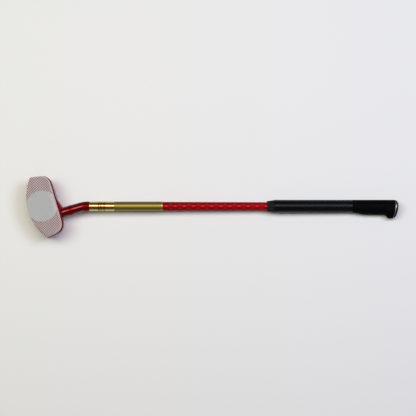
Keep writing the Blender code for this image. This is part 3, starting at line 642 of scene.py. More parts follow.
def headOutline(halfLength, crown, margin, crownCorner, soleCorner, counts=(20, 12, 6, 8, 24)):
    # The D of the head, one row of points for each set of sizes, clockwise seen from the front: the
    # straight crown from its middle, a corner circle, the leaning end, a corner circle and the sole's
    # arc, and then the same mirrored. Each end is a line whose normal leans down by the end slope. The
    # upper circle touches the crown and the end, the lower one touches the end and the sole.
    halfLength, crown, margin, crownCorner, soleCorner = asColumns(
        halfLength, crown, margin, crownCorner, soleCorner)
    slope = math.radians(headSizes["endSlope"])
    nx, ny = math.cos(slope), math.sin(slope)
    reach = nx * halfLength - ny * headSizes["widestLevel"] + margin
    upperY = crown - crownCorner
    upperX = (reach - crownCorner - ny * upperY) / nx
    bigRadius = headSizes["soleRadius"] + margin
    footX = nx * (reach - soleCorner)
    footY = ny * (reach - soleCorner) - soleMiddle
    lean = nx * footY - ny * footX
    slide = lean + np.sqrt(lean ** 2 - footX ** 2 - footY ** 2 + (bigRadius - soleCorner) ** 2)
    lowerX = footX + ny * slide
    lowerY = footY + soleMiddle - nx * slide
    lowerTurn = np.arctan2(lowerY - soleMiddle, lowerX)

    def arc(x, y, radius, start, end, count):
        angle = start + (end - start) * np.linspace(0, 1, count)[None, :]
        return np.stack([x + radius * np.cos(angle), y + radius * np.sin(angle)], axis=-1)

    straight, upperCount, endCount, lowerCount, soleCount = counts
    share = np.linspace(0, 1, straight, endpoint=False)[None, :]
    crownLine = np.stack([upperX * share, crown + 0 * share], axis=-1)
    upper = arc(upperX, upperY, crownCorner, math.pi / 2, slope, upperCount)
    lower = arc(lowerX, lowerY, soleCorner, slope, lowerTurn, lowerCount)
    between = np.linspace(0, 1, endCount + 2)[None, 1:-1, None]
    end = upper[:, -1:] * (1 - between) + lower[:, :1] * between
    sole = arc(0 * lowerX, soleMiddle, bigRadius, lowerTurn, -math.pi / 2, soleCount)[:, 1:]
    half = np.concatenate([crownLine, upper, end, lower, sole], axis=1)
    return np.concatenate([half, half[:, -2:0:-1] * (-1.0, 1.0)], axis=1)


def slabMesh(name, inset, thickness, high):
    # A flat D with rounded edges: rings from the front's middle outwards, round the edge and back in.
    look, edge, low = plateLook, headSizes["plateEdge"], high - thickness
    turn = quarterTurn(6)
    fromEdge = np.concatenate([look["frontRings"], [edge * look["frontGuard"]], edge * (1 - np.sin(turn)),
                               edge * (1 - np.sin(turn[::-1])), [edge * edgeGuard, look["backRing"]]])
    levels = np.concatenate([[high] * 4, high - edge * (1 - np.cos(turn)),
                             low + edge * (1 - np.cos(turn[::-1])), [low, low]])
    rubbed = np.concatenate([np.zeros(4), np.sin(turn), np.zeros(8)])
    insets = fromEdge + inset
    rings = headOutline(headSizes["halfLength"], -insets, -insets, headSizes["crownCorner"] - insets,
                        np.maximum(headSizes["soleCorner"] - insets, look["leastCorner"]))
    grid = np.concatenate([rings, np.broadcast_to(levels[:, None, None], (*rings.shape[:2], 1))], axis=-1)
    return gridMesh(name, fromHead(grid), np.concatenate([rings, rings[:, :1]], axis=1),
                    marks={"edge": rubbed[:, None], "inset": fromEdge[:, None]})


plateMesh = slabMesh("facePlate", headSizes["plateInset"], headSizes["plateThickness"],
                     headSizes["neckDepth"])
finishPiece("facePlate", plateMesh, printedFace(), ["face_plate"])

# Backing: the pale layer whose edge shows all round the plate

backingLook = {
    "colour": (0.60, 0.62, 0.62),
    "shade": (0.50, 0.515, 0.515),
    "rubbed": (0.42, 0.41, 0.40),
    "roughness": 0.38,
}


def whiteResin():
    look = backingLook
    finish = Finish("whiteResin", look["colour"], look["roughness"], specular=0.4)
    finish.paint(look["shade"], (finish.cloud(scale=90.0), look["colour"]),
                 (finish.worn(finish.mark("edge"), scale=180.0, amount=0.4), look["rubbed"]))
    finish.mottledRoughness(scale=200.0, less=0.08, more=0.08)
    finish.grain(scale=1200.0, strength=0.1, distance=0.00005)
    return finish.material


backingMesh = slabMesh("faceBacking", 0.0, headSizes["backingThickness"], backingTop)
finishPiece("faceBacking", backingMesh, whiteResin(), ["face_backing"])
print("hitting plate and backing done")

# Wooden body

bodyLook = {
    "colour": (0.235, 0.0035, 0.0065),
    "deep": (0.165, 0.0022, 0.004),
    "streaks": (0.35, 0.7),            # brushing values between which the grain comes in
    "metallic": 0.15,
    "roughness": 0.4,
    "coat": 1.0,
    "thinCoat": 0.05,
    "coatRoughness": 0.15,
    "coatLevels": (0.047, 0.034),      # the coat thins out between these heights above the floor
    "edgeSteps": 9,
    "wallSteps": 20,
    "backSteps": 12,
    "backRings": (0.0008, 0.006),      # insets of the two rings on the flat back
    "leastCorner": 0.0005,             # no ring's lower corner is sharper than this
}


def redLacquer():
    # Candy red over straight-grained wood: the grain shows as a slow change of depth under the coat.
    look = bodyLook
    finish = Finish("redLacquer", look["colour"], look["roughness"], look["metallic"], look["coat"],
                    look["coatRoughness"], 0.0)
    streaks = finish.ramp(finish.drawn(scale=16.0, stretch=(1.0, 14.0, 14.0)), *look["streaks"])
    depth = finish.calc("MULTIPLY", streaks, finish.cloud(scale=30.0, low=0.3))
    finish.paint(look["colour"], (depth, look["deep"]))
    height = finish.add("ShaderNodeSeparateXYZ", {0: finish.place}).outputs[2]
    coat = finish.ramp(height, *look["coatLevels"], look["thinCoat"], look["coat"], "SMOOTHSTEP")
    finish.feed("Coat Weight", coat)
    finish.mottledRoughness(scale=80.0, less=0.05, more=0.06)
    finish.bump(finish.cloud(scale=260.0), strength=0.06, distance=0.0001)
    return finish.material


def bodyRings():
    # Rings of the wooden body from front to back, as depth, half length, crown level, margin and corners:
    # a quarter circle over the front edge, straight walls, and a quarter circle over the back edge. The
    # length shrinks behind the straight wall as half length = back + (front - back) * sqrt(1 - share^2).
    sizes, look, total = bodySizes, bodyLook, bodyFront - backLevel
    front, back = sizes["frontEdge"], sizes["backEdge"]
    turn, over = quarterTurn(look["edgeSteps"]), quarterTurn(look["backSteps"])[1:]
    wall = np.linspace(front, total - back, look["wallSteps"])[1:]
    depth = np.concatenate([front * (1 - np.cos(turn)), wall, total - back * (1 - np.sin(over)),
                            [total, total]])
    drawnIn = np.concatenate([0 * wall, back * (1 - np.cos(over)), back + np.array(look["backRings"])])
    crown = sizes["crownMargin"] - np.concatenate([front * (1 - np.sin(turn)), drawnIn])
    margin = sizes["margin"] - np.concatenate([sizes["margin"] * (1 - np.sin(turn)), drawnIn])
    share = np.clip((depth - sizes["straightWall"]) / (total - sizes["straightWall"]), 0, 1)
    narrowed = headSizes["halfLength"] - sizes["backHalfLength"]
    half = sizes["backHalfLength"] + narrowed * np.sqrt(1 - share ** 2)
    corner = headSizes["soleCorner"] + (sizes["backCorner"] - headSizes["soleCorner"]) * share
    inward = np.minimum(margin, 0)
    soleCorner = np.maximum(corner + inward, look["leastCorner"])
    return depth, half, crown, margin, headSizes["crownCorner"] + inward, soleCorner


def bodyGrid():
    # The hump adds height * cos(pi/2 * away)^2 to the crown, faded down the corners, and the rings over
    # the back edge lean into the plane of the floor.
    sizes, total = bodySizes, bodyFront - backLevel
    depth, half, crown, margin, crownCorner, soleCorner = bodyRings()
    rings = headOutline(half, crown, margin, crownCorner, soleCorner, counts=(34, 14, 6, 10, 30))
    x, y = rings[..., 0], rings[..., 1]
    down = depth[:, None]
    reach = np.where(x < sizes["humpMiddle"], sizes["humpToeLength"], sizes["humpHalfLength"])
    away = np.hypot((x - sizes["humpMiddle"]) / reach, (bodyFront - down) / sizes["humpHalfDepth"])
    hump = sizes["humpHeight"] * np.cos(np.minimum(away, 1) * math.pi / 2) ** 2
    share = np.clip((y - crown[:, None] + crownCorner[:, None]) / crownCorner[:, None], 0, 1)
    raised = y + hump * share ** 2
    lean = np.clip(1 - (total - down) / sizes["backEdge"], 0, 1)
    alongClub = headOrigin[0] + x * heelward[0] + raised * crownNormal[0]
    return np.stack([x, raised, bodyFront - down + (alongClub - headMiddle[0]) * restSlope * lean], axis=-1)


def headTurned(name, corners, closed=False, columns=96):
    # A profile of (level, radius) turned round the neck's line in the head.
    level, radius = roundedProfile(corners, closed).T[..., None]
    grid = spun(level, radius, columns, headSizes["neckOffset"] * xAxis, yAxis, zAxis, xAxis)
    return gridMesh(name, fromHead(grid), turnUv(level, columns), closed)


def soleBand(name, depths, spare, edge):
    # A strip that follows the sole between two depths under it, larger than the plate by spare on each
    # side: a rectangle of radius and level with rounded corners, carried along the arc. Over the first
    # and last bit of the arc it shrinks by a quarter circle, so its ends are rounded too.
    sizes, steps, turn = soleSizes, 60, quarterTurn(5)
    inner, outer = bodySole - depths[0], bodySole - depths[1]
    halves = np.array(((outer - inner) / 2, sizes["width"] / 2 + spare))
    spread = math.asin((sizes["halfLength"] + spare) / headSizes["soleRadius"])
    endAngle = edge * (1 - np.cos(turn)) / headSizes["soleRadius"]
    endInset = edge * (1 - np.sin(turn))
    angle = np.concatenate([-spread + endAngle, np.linspace(-spread, spread, steps)[2:-2],
                            (spread - endAngle)[::-1]])[:, None]
    inset = np.concatenate([endInset, np.zeros(steps - 4), endInset[::-1]])
    quarter = np.stack([np.cos(turn), np.sin(turn)], axis=-1)
    loop = np.concatenate([np.array(sign) * (halves - edge + edge * quarter[::way])
                           for sign, way in (((1, 1), 1), ((-1, 1), -1), ((-1, -1), 1), ((1, -1), -1))])
    shrunk = loop[None] - np.sign(loop)[None] * inset[:, None, None]
    radius, level = (inner + outer) / 2 + shrunk[..., 0], sizes["level"] + shrunk[..., 1]
    grid = np.stack([radius * np.sin(angle), soleMiddle - radius * np.cos(angle), level], axis=-1)
    ring = np.concatenate([level, level[:, :1]], axis=1)
    uv = np.stack(np.broadcast_arrays(angle * headSizes["soleRadius"], ring), axis=-1)
    return gridMesh(name, fromHead(grid[::-1]), uv[::-1])


def screwAxes(side):
    # A screw's direction out of the sole, the direction along the sole, and its place on the sole.
    angle = side * soleSizes["screwSpread"] / headSizes["soleRadius"]
    outward = np.array((math.sin(angle), -math.cos(angle), 0.0))
    surface = np.array((0.0, soleMiddle, soleSizes["level"])) + outward * bodySole
    return outward, np.cross(outward, zAxis), surface


def screwTurned(name, corners, side, columns=48):
    # A profile of (height, radius) turned round a screw's line, height 0 at the sole's surface.
    outward, along, surface = screwAxes(side)
    height, radius = roundedProfile(corners, False).T[..., None]
    grid = spun(height, radius, columns, surface, outward, zAxis, along)
    return gridMesh(name, fromHead(grid), turnUv(height, columns))


def woodenBody():
    # The body with the neck's socket and seat, the sole plate's recess and the screws' pilot holes.
    seat, seatRadius = bodySizes["seatLevel"], bodySizes["collarRadius"] + seam
    hole = neckSizes["tenonRadius"] + seam
    aboveHump = seat + bodySizes["humpHeight"] + bodySizes["crownMargin"]
    shank, thickness, recessEdge = soleSizes["screwShank"] + seam, soleSizes["thickness"], 0.0001
    points = bodyGrid()
    whole = gridMesh("headBodyWhole", fromHead(points), ringUv(points))
    socket = headTurned("neckSocket", [
        (seat - neckSizes["tenonLength"] - seam, hole, 0), (seat, hole, 0), (seat, seatRadius, 0),
        (aboveHump, seatRadius, 0)])
    recess = soleBand("soleRecess", (thickness + seam, -thickness), seam, recessEdge)
    pilots = [screwTurned("pilot", [(-soleSizes["screwLength"] - seam, shank, 0), (0.0, shank, 0)], side)
              for side in (-1, 1)]
    return cutAway("headBody", whole, [socket, recess, *pilots])


bodyMesh = woodenBody()
finishPiece("headBody", bodyMesh, redLacquer(), ["head_body"])
print("wooden body done:", len(bodyMesh.polygons), "faces")

# Sole plate and its screws

soleLook = {
    "colour": (0.56, 0.40, 0.16),
    "dull": (0.34, 0.25, 0.11),
    "scuffed": (0.66, 0.52, 0.26),
    "roughness": 0.34,
    "screw": (0.52, 0.52, 0.54),
    "screwDark": (0.40, 0.40, 0.42),
    "screwPale": (0.58, 0.58, 0.60),
    "screwWorn": (0.72, 0.72, 0.74),
    "screwRoughness": 0.3,
    "screwPoint": 0.0004,              # radius of the tip and of the head's middle
    "screwEdge": 0.0001,
    "screwCrown": ((0.00012, 0.4), (0.00014, 0.0)),  # rise of the head, and the share of its radius there
}


def brassPlate():
    look = soleLook
    finish = Finish("brassPlate", look["colour"], look["roughness"], metallic=1.0)
    lines = finish.drawn(scale=900.0, stretch=(1.0, 0.04, 1.0))
    cloud = finish.cloud(scale=70.0)
    finish.paint(look["colour"], (cloud, look["dull"], 0.5),
                 (finish.worn(cloud, scale=300.0, amount=0.4), look["scuffed"], 0.5))
    finish.brushedRoughness(lines, less=0.08, more=0.12)
    finish.bump(lines, strength=0.12, distance=0.00005)
    return finish.material


def steelScrew():
    look = soleLook
    finish = Finish("steelScrew", look["screw"], look["screwRoughness"], metallic=1.0)
    cloud = finish.cloud(scale=400.0)
    finish.paint(look["screwDark"], (cloud, look["screwPale"]),
                 (finish.worn(cloud, scale=700.0, amount=0.45), look["screwWorn"]))
    finish.mottledRoughness(scale=500.0, less=0.08, more=0.12)
    return finish.material


def solePlate():
    sizes = soleSizes
    shank, top = sizes["screwShank"] + seam, sizes["screwHead"] + 2 * seam
    plate = soleBand("solePlate", (sizes["thickness"], 0.0), 0.0, sizes["edge"])
    sinks = [screwTurned("sink", [(-sizes["screwLength"], shank, 0), (-sizes["screwHeadHeight"], shank, 0),
                                  (seam, top, 0)], side) for side in (-1, 1)]
    return cutAway("solePlate", plate, sinks)


def slotCutters(side):
    # Two boxes that cross on the screw's flat head.
    outward, along, surface = screwAxes(side)
    signs = np.array([(a, b, c) for a in (-1, 1) for b in (-1, 1) for c in (-1, 1)], dtype=float)
    halves = np.array((soleSizes["slotLength"] / 2, soleSizes["slotWidth"] / 2, soleSizes["slotDepth"]))
    sides = np.array([(0, 1, 3, 2), (4, 6, 7, 5), (0, 4, 5, 1), (2, 3, 7, 6), (0, 2, 6, 4), (1, 5, 7, 3)])
    boxes = []
    for first, second in ((zAxis, along), (along, zAxis)):
        corners = surface - outward * seam + (signs * halves) @ np.array((first, second, outward))
        way = 1 if np.cross(first, second) @ outward > 0 else -1
        boxes.append(addMesh("slot", fromHead(corners), [sides[:, ::way]]))
    return boxes


def soleScrew(name, side):
    # Countersunk screw with a pointed tip; its flat head rises a little to its middle.
    look, head, stem = soleLook, soleSizes["screwHead"], soleSizes["screwShank"]
    point, tip = look["screwPoint"], seam - soleSizes["screwLength"]
    crown = [(-seam + rise, max(head * share, point), 0) for rise, share in look["screwCrown"]]
    mesh = screwTurned(name, [
        (tip, point, 0), (tip + stem, stem, point), (-seam - soleSizes["screwHeadHeight"], stem, 0),
        (-seam, head, look["screwEdge"]), *crown], side)
    return cutAway(name, mesh, slotCutters(side))


finishPiece("solePlate", solePlate(), brassPlate(), ["sole_plate"])
screwSteel = steelScrew()
for side, end in ((-1, "Toe"), (1, "Heel")):
    screwMesh = soleScrew("soleScrew" + end, side)
    finishPiece("soleScrew" + end, screwMesh, screwSteel, ["sole_screw_" + end.lower()])
print("sole plate and screws done")

# Neck and the ring at its root

neckLook = {
    "colour": (0.165, 0.0014, 0.0022),
    "deep": (0.125, 0.0009, 0.0014),
    "flake": (0.4, 0.02, 0.02),
    "metallic": 0.45,
    "roughness": 0.33,
    "polishedRoughness": 0.13,
    "polishedMetallic": 0.7,
    "polishedCoat": 0.6,
    "coatRoughness": 0.04,
    "dullCoat": 0.05,                  # coat between the two polished stretches
    "polished": ((-0.044, -0.019), (-0.020, 0.014)),
    "polishFade": 0.010,
    "fuller": (0.0003, 0.0007),        # added to the radius at the top and at the root
    "rootEdge": 0.0006,
    "bendSteps": 60,
    "washer": (0.018, 0.018, 0.019),
    "washerRoughness": 0.5,
    "washerEdges": (0.0003, 0.0005),
}


def redPaint():
    look = neckLook
    finish = Finish("redPaint", look["colour"], look["roughness"], look["metallic"], 1.0,
                    look["coatRoughness"], 0.0)
    polish = finish.mark("polish")
    finish.feed("Coat Weight", finish.ramp(polish, 0.0, 1.0, look["dullCoat"], look["polishedCoat"]))
    finish.feed("Metallic", finish.ramp(polish, 0.0, 1.0, look["metallic"], look["polishedMetallic"]))
    finish.paint(look["colour"], (finish.cloud(scale=45.0), look["deep"]),
                 (finish.dots(scale=2600.0, share=0.3, size=0.4), look["flake"], 0.25))
    rough = finish.cloud(scale=90.0, low=look["roughness"] - 0.05, high=look["roughness"] + 0.06)
    smoothing = finish.ramp(polish, 0.0, 1.0, 1.0, look["polishedRoughness"] / look["roughness"])
    finish.feed("Roughness", finish.calc("MULTIPLY", rough, smoothing))
    finish.bump(finish.cloud(scale=300.0), strength=0.03, distance=0.0001)
    return finish.material


def neckPath(run):
    # Middle line and sideways direction at a run along the neck, 0 where the bend starts: straight up the
    # crown's normal before it, an arc of the bend radius, then straight along the shaft's line.
    radius = neckSizes["bendRadius"]
    bend = radius * lieTilt
    angle = lieTilt - np.clip(run, 0, bend) / radius
    sideways = np.stack([-np.sin(angle), np.cos(angle), 0 * angle], axis=-1)
    onArc = radius * (heelward + sideways) - bendReach * crownNormal
    before, after = np.minimum(run, 0)[..., None], np.maximum(run - bend, 0)[..., None]
    return onArc + before * crownNormal + after * xAxis, sideways


def neckMesh(columns=80):
    sizes, look = neckSizes, neckLook
    root, top = -sizes["lowerLength"], sizes["bendRadius"] * lieTilt + sizes["topLength"]
    full, tenon, edge = sizes["radius"], sizes["tenonRadius"], look["rootEdge"]
    tenonEnd = root - (neckLevel - bodySizes["seatLevel"]) - sizes["tenonLength"]
    profile = roundedProfile([
        (tenonEnd, tenon, 0), (root, tenon, 0), (root, full, edge), (top, full, edge),
        (top, spigotRadius, 0), (top + sizes["spigotLength"], spigotRadius, 0)], closed=False)
    run, radius = refined(profile, full, look["bendSteps"]).T[..., None]
    outside = radius > max(tenon, spigotRadius) + hair
    radius = radius + outside * np.interp(run, (root, top), look["fuller"][::-1])
    middle, sideways = neckPath(run)
    polish = 0.0
    for start, end in look["polished"]:
        fadeIn, fadeOut = (run - start) / look["polishFade"], (end - run) / look["polishFade"]
        polish = polish + smoothStep(fadeIn) * smoothStep(fadeOut)
    grid = spun(0 * run, radius, columns, middle, first=sideways)
    return gridMesh("neck", fromClub(grid), turnUv(run, columns), marks={"polish": polish})


def blackWasher():
    finish = Finish("blackWasher", neckLook["washer"], neckLook["washerRoughness"], specular=0.35)
    finish.mottledRoughness(scale=300.0, less=0.08, more=0.1)
    finish.grain(scale=2200.0, strength=0.3, distance=0.00006)
    return finish.material


def neckCollar():
    bore, radius = neckSizes["tenonRadius"] + seam, bodySizes["collarRadius"]
    high = collarLevel + bodySizes["collarThickness"]
    lowEdge, highEdge = neckLook["washerEdges"]
    return headTurned("neckCollar", [
        (collarLevel, bore, 0), (collarLevel, radius, lowEdge), (high, radius, highEdge),
        (high, bore, 0)], closed=True)


finishPiece("neck", neckMesh(), redPaint(), ["neck"])
finishPiece("neckCollar", neckCollar(), blackWasher(), ["neck_collar"])
print("neck done")

# Gold ferrule, sleeve and ring

goldLook = {
    "polished": (0.60, 0.49, 0.175),
    "polishedDeep": (0.53, 0.40, 0.12),
    "groove": (0.04, 0.028, 0.008),
    "polishedRoughness": 0.055,
    "satin": (0.270, 0.215, 0.053),
    "satinDeep": (0.225, 0.178, 0.042),
    "satinRoughness": 0.48,
    "bright": (0.40, 0.32, 0.085),
    "brightWorn": (0.50, 0.42, 0.14),
    "brightRoughness": 0.38,
    "grooveSteps": 25,
    "grooveReach": (0.0016, 0.0008),   # the groove's colour ends here, and fades over this length
    "ferruleEdge": 0.0005,
    "sleeveEdge": 0.00015,
    "ringEdge": 0.0002,
}


def polishedGold():
    look = goldLook
    finish = Finish("polishedGold", look["polished"], look["polishedRoughness"], metallic=1.0)
    lines = finish.drawn(scale=1500.0, stretch=(1.0, 0.05, 0.05))
    finish.paint(look["polished"], (finish.cloud(scale=60.0), look["polishedDeep"], 0.25),
                 (finish.mark("groove"), look["groove"]))
    finish.brushedRoughness(lines, less=0.03, more=0.05)
    finish.bump(lines, strength=0.03, distance=0.00002)
    return finish.material


def satinGold():
    look = goldLook
    finish = Finish("satinGold", look["satin"], look["satinRoughness"], metallic=1.0)
    lines = finish.drawn(scale=1200.0, stretch=(1.0, 0.06, 0.06))
    finish.paint(look["satin"], (finish.cloud(scale=40.0), look["satinDeep"], 0.35))
    finish.brushedRoughness(lines, less=0.05, more=0.06)
    finish.bump(lines, strength=0.10, distance=0.00003)
    return finish.material


def brightGold():
    look = goldLook
    finish = Finish("brightGold", look["bright"], look["brightRoughness"], metallic=1.0)
    worn = finish.worn(finish.cloud(scale=220.0), scale=500.0, amount=0.4)
    finish.paint(look["bright"], (worn, look["brightWorn"]))
    finish.mottledRoughness(scale=300.0, less=0.06, more=0.06)
    return finish.material


def ferruleMesh(columns=120):
    # Outside with three grooves, each depth * cos(pi * offset / width)^2 deep.
    sizes, look = shaftSizes, goldLook
    outer, length, lip = sizes["ferruleRadius"], sizes["ferruleLength"], sizes["ferruleLip"]
    bore, edge = spigotRadius + seam, look["ferruleEdge"]
    offset = np.linspace(-1.2, 1.2, look["grooveSteps"])
    dip = sizes["grooveDepth"] * np.cos(math.pi * np.clip(offset, -0.5, 0.5)) ** 2
    grooves = [(middle + step * sizes["grooveWidth"], level, 0)
               for middle in sizes["grooves"] for step, level in zip(offset, outer - dip)]
    profile = roundedProfile([(0.0, outer, edge), *grooves, (length, outer, edge), (length, sleeveBore, 0),
                              (lip, sleeveBore, 0), (lip, bore, 0), (0.0, bore, 0)])
    away = np.abs(profile[:, :1] - np.array(sizes["grooves"])).min(axis=1)
    end, fade = look["grooveReach"]
    deep = smoothStep((end - away) / fade) * (profile[:, 1] > sleeveBore)
    along, radius = (profile + (ferruleStart, 0.0)).T[..., None]
    grid = spun(along, radius, columns)
    return gridMesh("ferrule", fromClub(grid), turnUv(along, columns), True, {"groove": deep[:, None]})


def sleeveTube(name, start, end, radius, edge):
    return turnedMesh(name, [(start, radius, edge), (end, radius, edge), (end, sleeveBore, 0),
                             (start, sleeveBore, 0)])


finishPiece("ferrule", ferruleMesh(), polishedGold(), ["ferrule"], 60)
sleeveRadius = sleeveBore + shaftSizes["sleeveWall"]
sleeveEnd = sleeveStart + shaftSizes["sleeveLength"]
sleeveMesh = sleeveTube("goldSleeve", sleeveStart, sleeveEnd, sleeveRadius, goldLook["sleeveEdge"])
finishPiece("goldSleeve", sleeveMesh, satinGold(), ["gold_sleeve"])
ringRadius = sleeveRadius + shaftSizes["ringProud"]
ringMesh = sleeveTube("sleeveRing", ringStart, bareStart, ringRadius, goldLook["ringEdge"])
finishPiece("sleeveRing", ringMesh, brightGold(), ["sleeve_ring"])
print("gold pieces done")

# Shaft

shaftLook = {
    "colour": (0.33, 0.0088, 0.0130),
    "spot": (0.72, 0.025, 0.035),
    "deep": (0.19, 0.0055, 0.008),
    "far": (0.54, 0.012, 0.016),       # painted highlight: lighter red that the shaft turns to near the grip, where its glint shows stronger
    "roughness": 0.45,
    "metallic": 0.45,
    "columns": 6.0,                    # lattice periods round the tube
    "phase": (-0.015, 0.0013),         # turn and run of the first spot
    "period": 0.0205,
    "fadeEnd": 0.75,                   # strength of the lattice at the grip end
    "colourRange": (0.0, 0.5),         # lattice values between which the colour comes in over the deep one
    "spotRange": (0.45, 0.95),         # and the spots over that
}


def redShaft():
    look = shaftLook
    finish = Finish("redShaft", look["colour"], look["roughness"], look["metallic"], specular=0.0)
    calc, ramp = finish.calc, finish.ramp
    around, along = finish.surface()
    spots = finish.use(diamondLattice, {"Around": calc("ADD", around, look["phase"][0]),
                                        "Along": calc("SUBTRACT", along, look["phase"][1]),
                                        "Columns": look["columns"], "Period": look["period"]})["Spots"]
    faded = calc("MULTIPLY", spots, ramp(along, bareStart, bareEnd, 1.0, look["fadeEnd"]))
    # The red turns lighter towards the grip: a painted highlight mixed into the shaft's own colour.
    colourAndPaintedGlint = finish.mix(ramp(along, bareStart, bareEnd), look["colour"], look["far"])
    finish.paint(look["deep"], (ramp(faded, *look["colourRange"]), colourAndPaintedGlint),
                 (ramp(faded, *look["spotRange"]), look["spot"]))
    finish.feed("Roughness", ramp(spots, 0.0, 1.0, look["roughness"] + 0.06, look["roughness"] - 0.05))
    finish.bump(finish.drawn(scale=500.0), strength=0.05, distance=0.00005)
    return finish.material


outsideLine = [(shaftStart, shaftSizes["lowRadius"]), (bareStart, shaftSizes["lowRadius"]),
               (bareEnd, shaftSizes["highRadius"]), (shaftEnd, shaftSizes["highRadius"])]
insideLine = [(along, radius - shaftSizes["wall"]) for along, radius in outsideLine[::-1]]
shaftMesh = turnedMesh("shaftTube", [(*point, 0) for point in outsideLine + insideLine])
finishPiece("shaftTube", shaftMesh, redShaft(), ["shaft_tube"])
print("shaft done")

# Grip

gripLook = {
    "collar": (0.0070, 0.0080, 0.0095),
    "collarSpeck": (0.028, 0.031, 0.037),
    "collarRoughness": 0.7,
    "collarEdge": 0.0002,
    "lower": (0.0020, 0.0020, 0.0030),
    "lowerPale": (0.0032, 0.0030, 0.0040),
    "lowerRoughness": 0.27,
    "lowerSpecular": 0.15,
    "upper": (0.0014, 0.0013, 0.0017),
    "upperDust": (0.006, 0.006, 0.0065),
    "upperRoughness": 0.6,
    "upperSpecular": 0.030,
    "sheenTint": (0.78, 0.87, 1.0),    # of the rubber's mirror light
    "ridges": (0.0034, 0.0079),
    "ridgeWidth": 0.0016,
    "ridgeHeight": 0.0003,
    "dimplePitch": 0.00445,            # along the grip, from one staggered set to the other
    "dimplesRound": 12,
    "dimpleHalf": (0.45, 0.35),        # half its width and length, as shares of the set's own spacing
    "dimpleDepth": 0.00022,
    "dimpleRoughness": 0.30,           # more roughness inside the dimples
    "dimpleStart": 0.064,
    "dimpleEnd": 0.172,
    "dimpleFade": 0.006,
    "lowerSteps": 220,
}


def speckledRubber():
    look = gripLook
    finish = Finish("speckledRubber", look["collar"], look["collarRoughness"], specular=0.1)
    finish.paint(look["collar"], (finish.dots(scale=700.0, share=0.35, size=0.42), look["collarSpeck"]))
    finish.mottledRoughness(scale=200.0, less=0.1, more=0.1)
    finish.grain(scale=800.0, strength=0.5, distance=0.0002)
    return finish.material


def texturedRubber():
    look = gripLook
    finish = Finish("texturedRubber", look["lower"], look["lowerRoughness"], specular=look["lowerSpecular"])
    finish.shader["Specular Tint"].default_value = (*look["sheenTint"], 1.0)
    finish.paint(look["lower"], (finish.cloud(scale=60.0), look["lowerPale"]))
    calc, ramp = finish.calc, finish.ramp
    around, along = finish.surface()
    spots = finish.use(diamondLattice, {"Around": around, "Along": calc("ADD", along, look["dimplePitch"]),
                                        "Columns": look["dimplesRound"] / 2,
                                        "Period": look["dimplePitch"] * 2})["Spots"]
    start, end, fade = look["dimpleStart"], look["dimpleEnd"], look["dimpleFade"]
    zone = calc("MULTIPLY", ramp(along, start, start + fade), ramp(along, end, end - fade))
    smooth = finish.cloud(scale=150.0, low=look["lowerRoughness"] - 0.04, high=look["lowerRoughness"] + 0.08)
    dull = calc("MULTIPLY", calc("MULTIPLY", spots, zone), look["dimpleRoughness"])
    finish.feed("Roughness", calc("ADD", smooth, dull))
    finish.grain(scale=1100.0, strength=0.18, distance=0.0001)
    return finish.material


def smoothRubber():
    look = gripLook
    finish = Finish("smoothRubber", look["upper"], look["upperRoughness"], specular=look["upperSpecular"])
    finish.paint(look["upper"], (finish.dots(scale=900.0, share=0.05, size=0.3), look["upperDust"]))
    finish.mottledRoughness(scale=120.0, less=0.08, more=0.08)
    finish.grain(scale=1600.0, strength=0.2, distance=0.00008)
    return finish.material


def gripCollar():
    # Tapers from the mouth to a little below the lower grip's radius.
    end, edge = gripCollarStart + gripSizes["collarLength"], gripSizes["edge"]
    return turnedMesh("gripCollar", [
        (gripCollarStart, gripSizes["mouthRadius"], edge),
        (end, gripSizes["radius"] - edge, gripLook["collarEdge"]), (end, gripBore, 0),
        (gripCollarStart, gripBore, 0)], columns=96)


def lowerGripMesh(columns=96):
    # A tube whose outside carries two low ridges near its mouth and two staggered sets of shallow
    # dimples, each depth * cos(pi/2 * away)^2 deep, where away is the distance from its middle as a
    # share of its half width and half length.
    look, length, radius, edge = gripLook, gripSizes["lowerLength"], gripSizes["radius"], gripSizes["edge"]
    profile = roundedProfile([(0, gripBore, 0), (0, radius, edge), (length, radius, edge),
                              (length, gripBore, 0)], closed=False)
    along, base = refined(profile, radius, look["lowerSteps"]).T[..., None]
    turn = np.linspace(0, 1, columns, endpoint=False)[None, :]
    change = 0 * turn
    for middle in look["ridges"]:
        offset = np.clip((along - middle) / look["ridgeWidth"], -0.5, 0.5)
        change = change + look["ridgeHeight"] * np.cos(math.pi * offset) ** 2
    fade, (halfWidth, halfLength) = look["dimpleFade"], look["dimpleHalf"]
    zone = smoothStep((along - look["dimpleStart"]) / fade) * smoothStep((look["dimpleEnd"] - along) / fade)
    for shift in (0.0, 0.5):
        p = turn * look["dimplesRound"] / 2 + shift
        q = along / look["dimplePitch"] / 2 + shift
        away = np.hypot((p - np.round(p)) / halfWidth, (q - np.round(q)) / halfLength)
        change = change - look["dimpleDepth"] * zone * np.cos(np.minimum(away, 1) * math.pi / 2) ** 2
    grid = spun(lowerGripStart + along, base + change * (base > radius - hair), columns)
    return gridMesh("lowerGrip", fromClub(grid), turnUv(along, columns), True)


finishPiece("gripCollar", gripCollar(), speckledRubber(), ["grip_collar"])
finishPiece("lowerGrip", lowerGripMesh(), texturedRubber(), ["lower_grip"])

lipStart = gripSizes["handleLength"] - gripSizes["lipLength"] - gripSizes["lipRamp"]


def handleDrop(distance):
    # Heel side of the handle: the grip's radius, a swell near the front, a slow belly and the lip.
    sizes = gripSizes
    return (sizes["radius"] + sizes["swell"] * smoothStep(distance / sizes["swellLength"])
            + sizes["belly"] * smoothStep(distance / sizes["handleLength"])
            + sizes["lipDrop"] * smoothStep((distance - lipStart) / sizes["lipRamp"]))


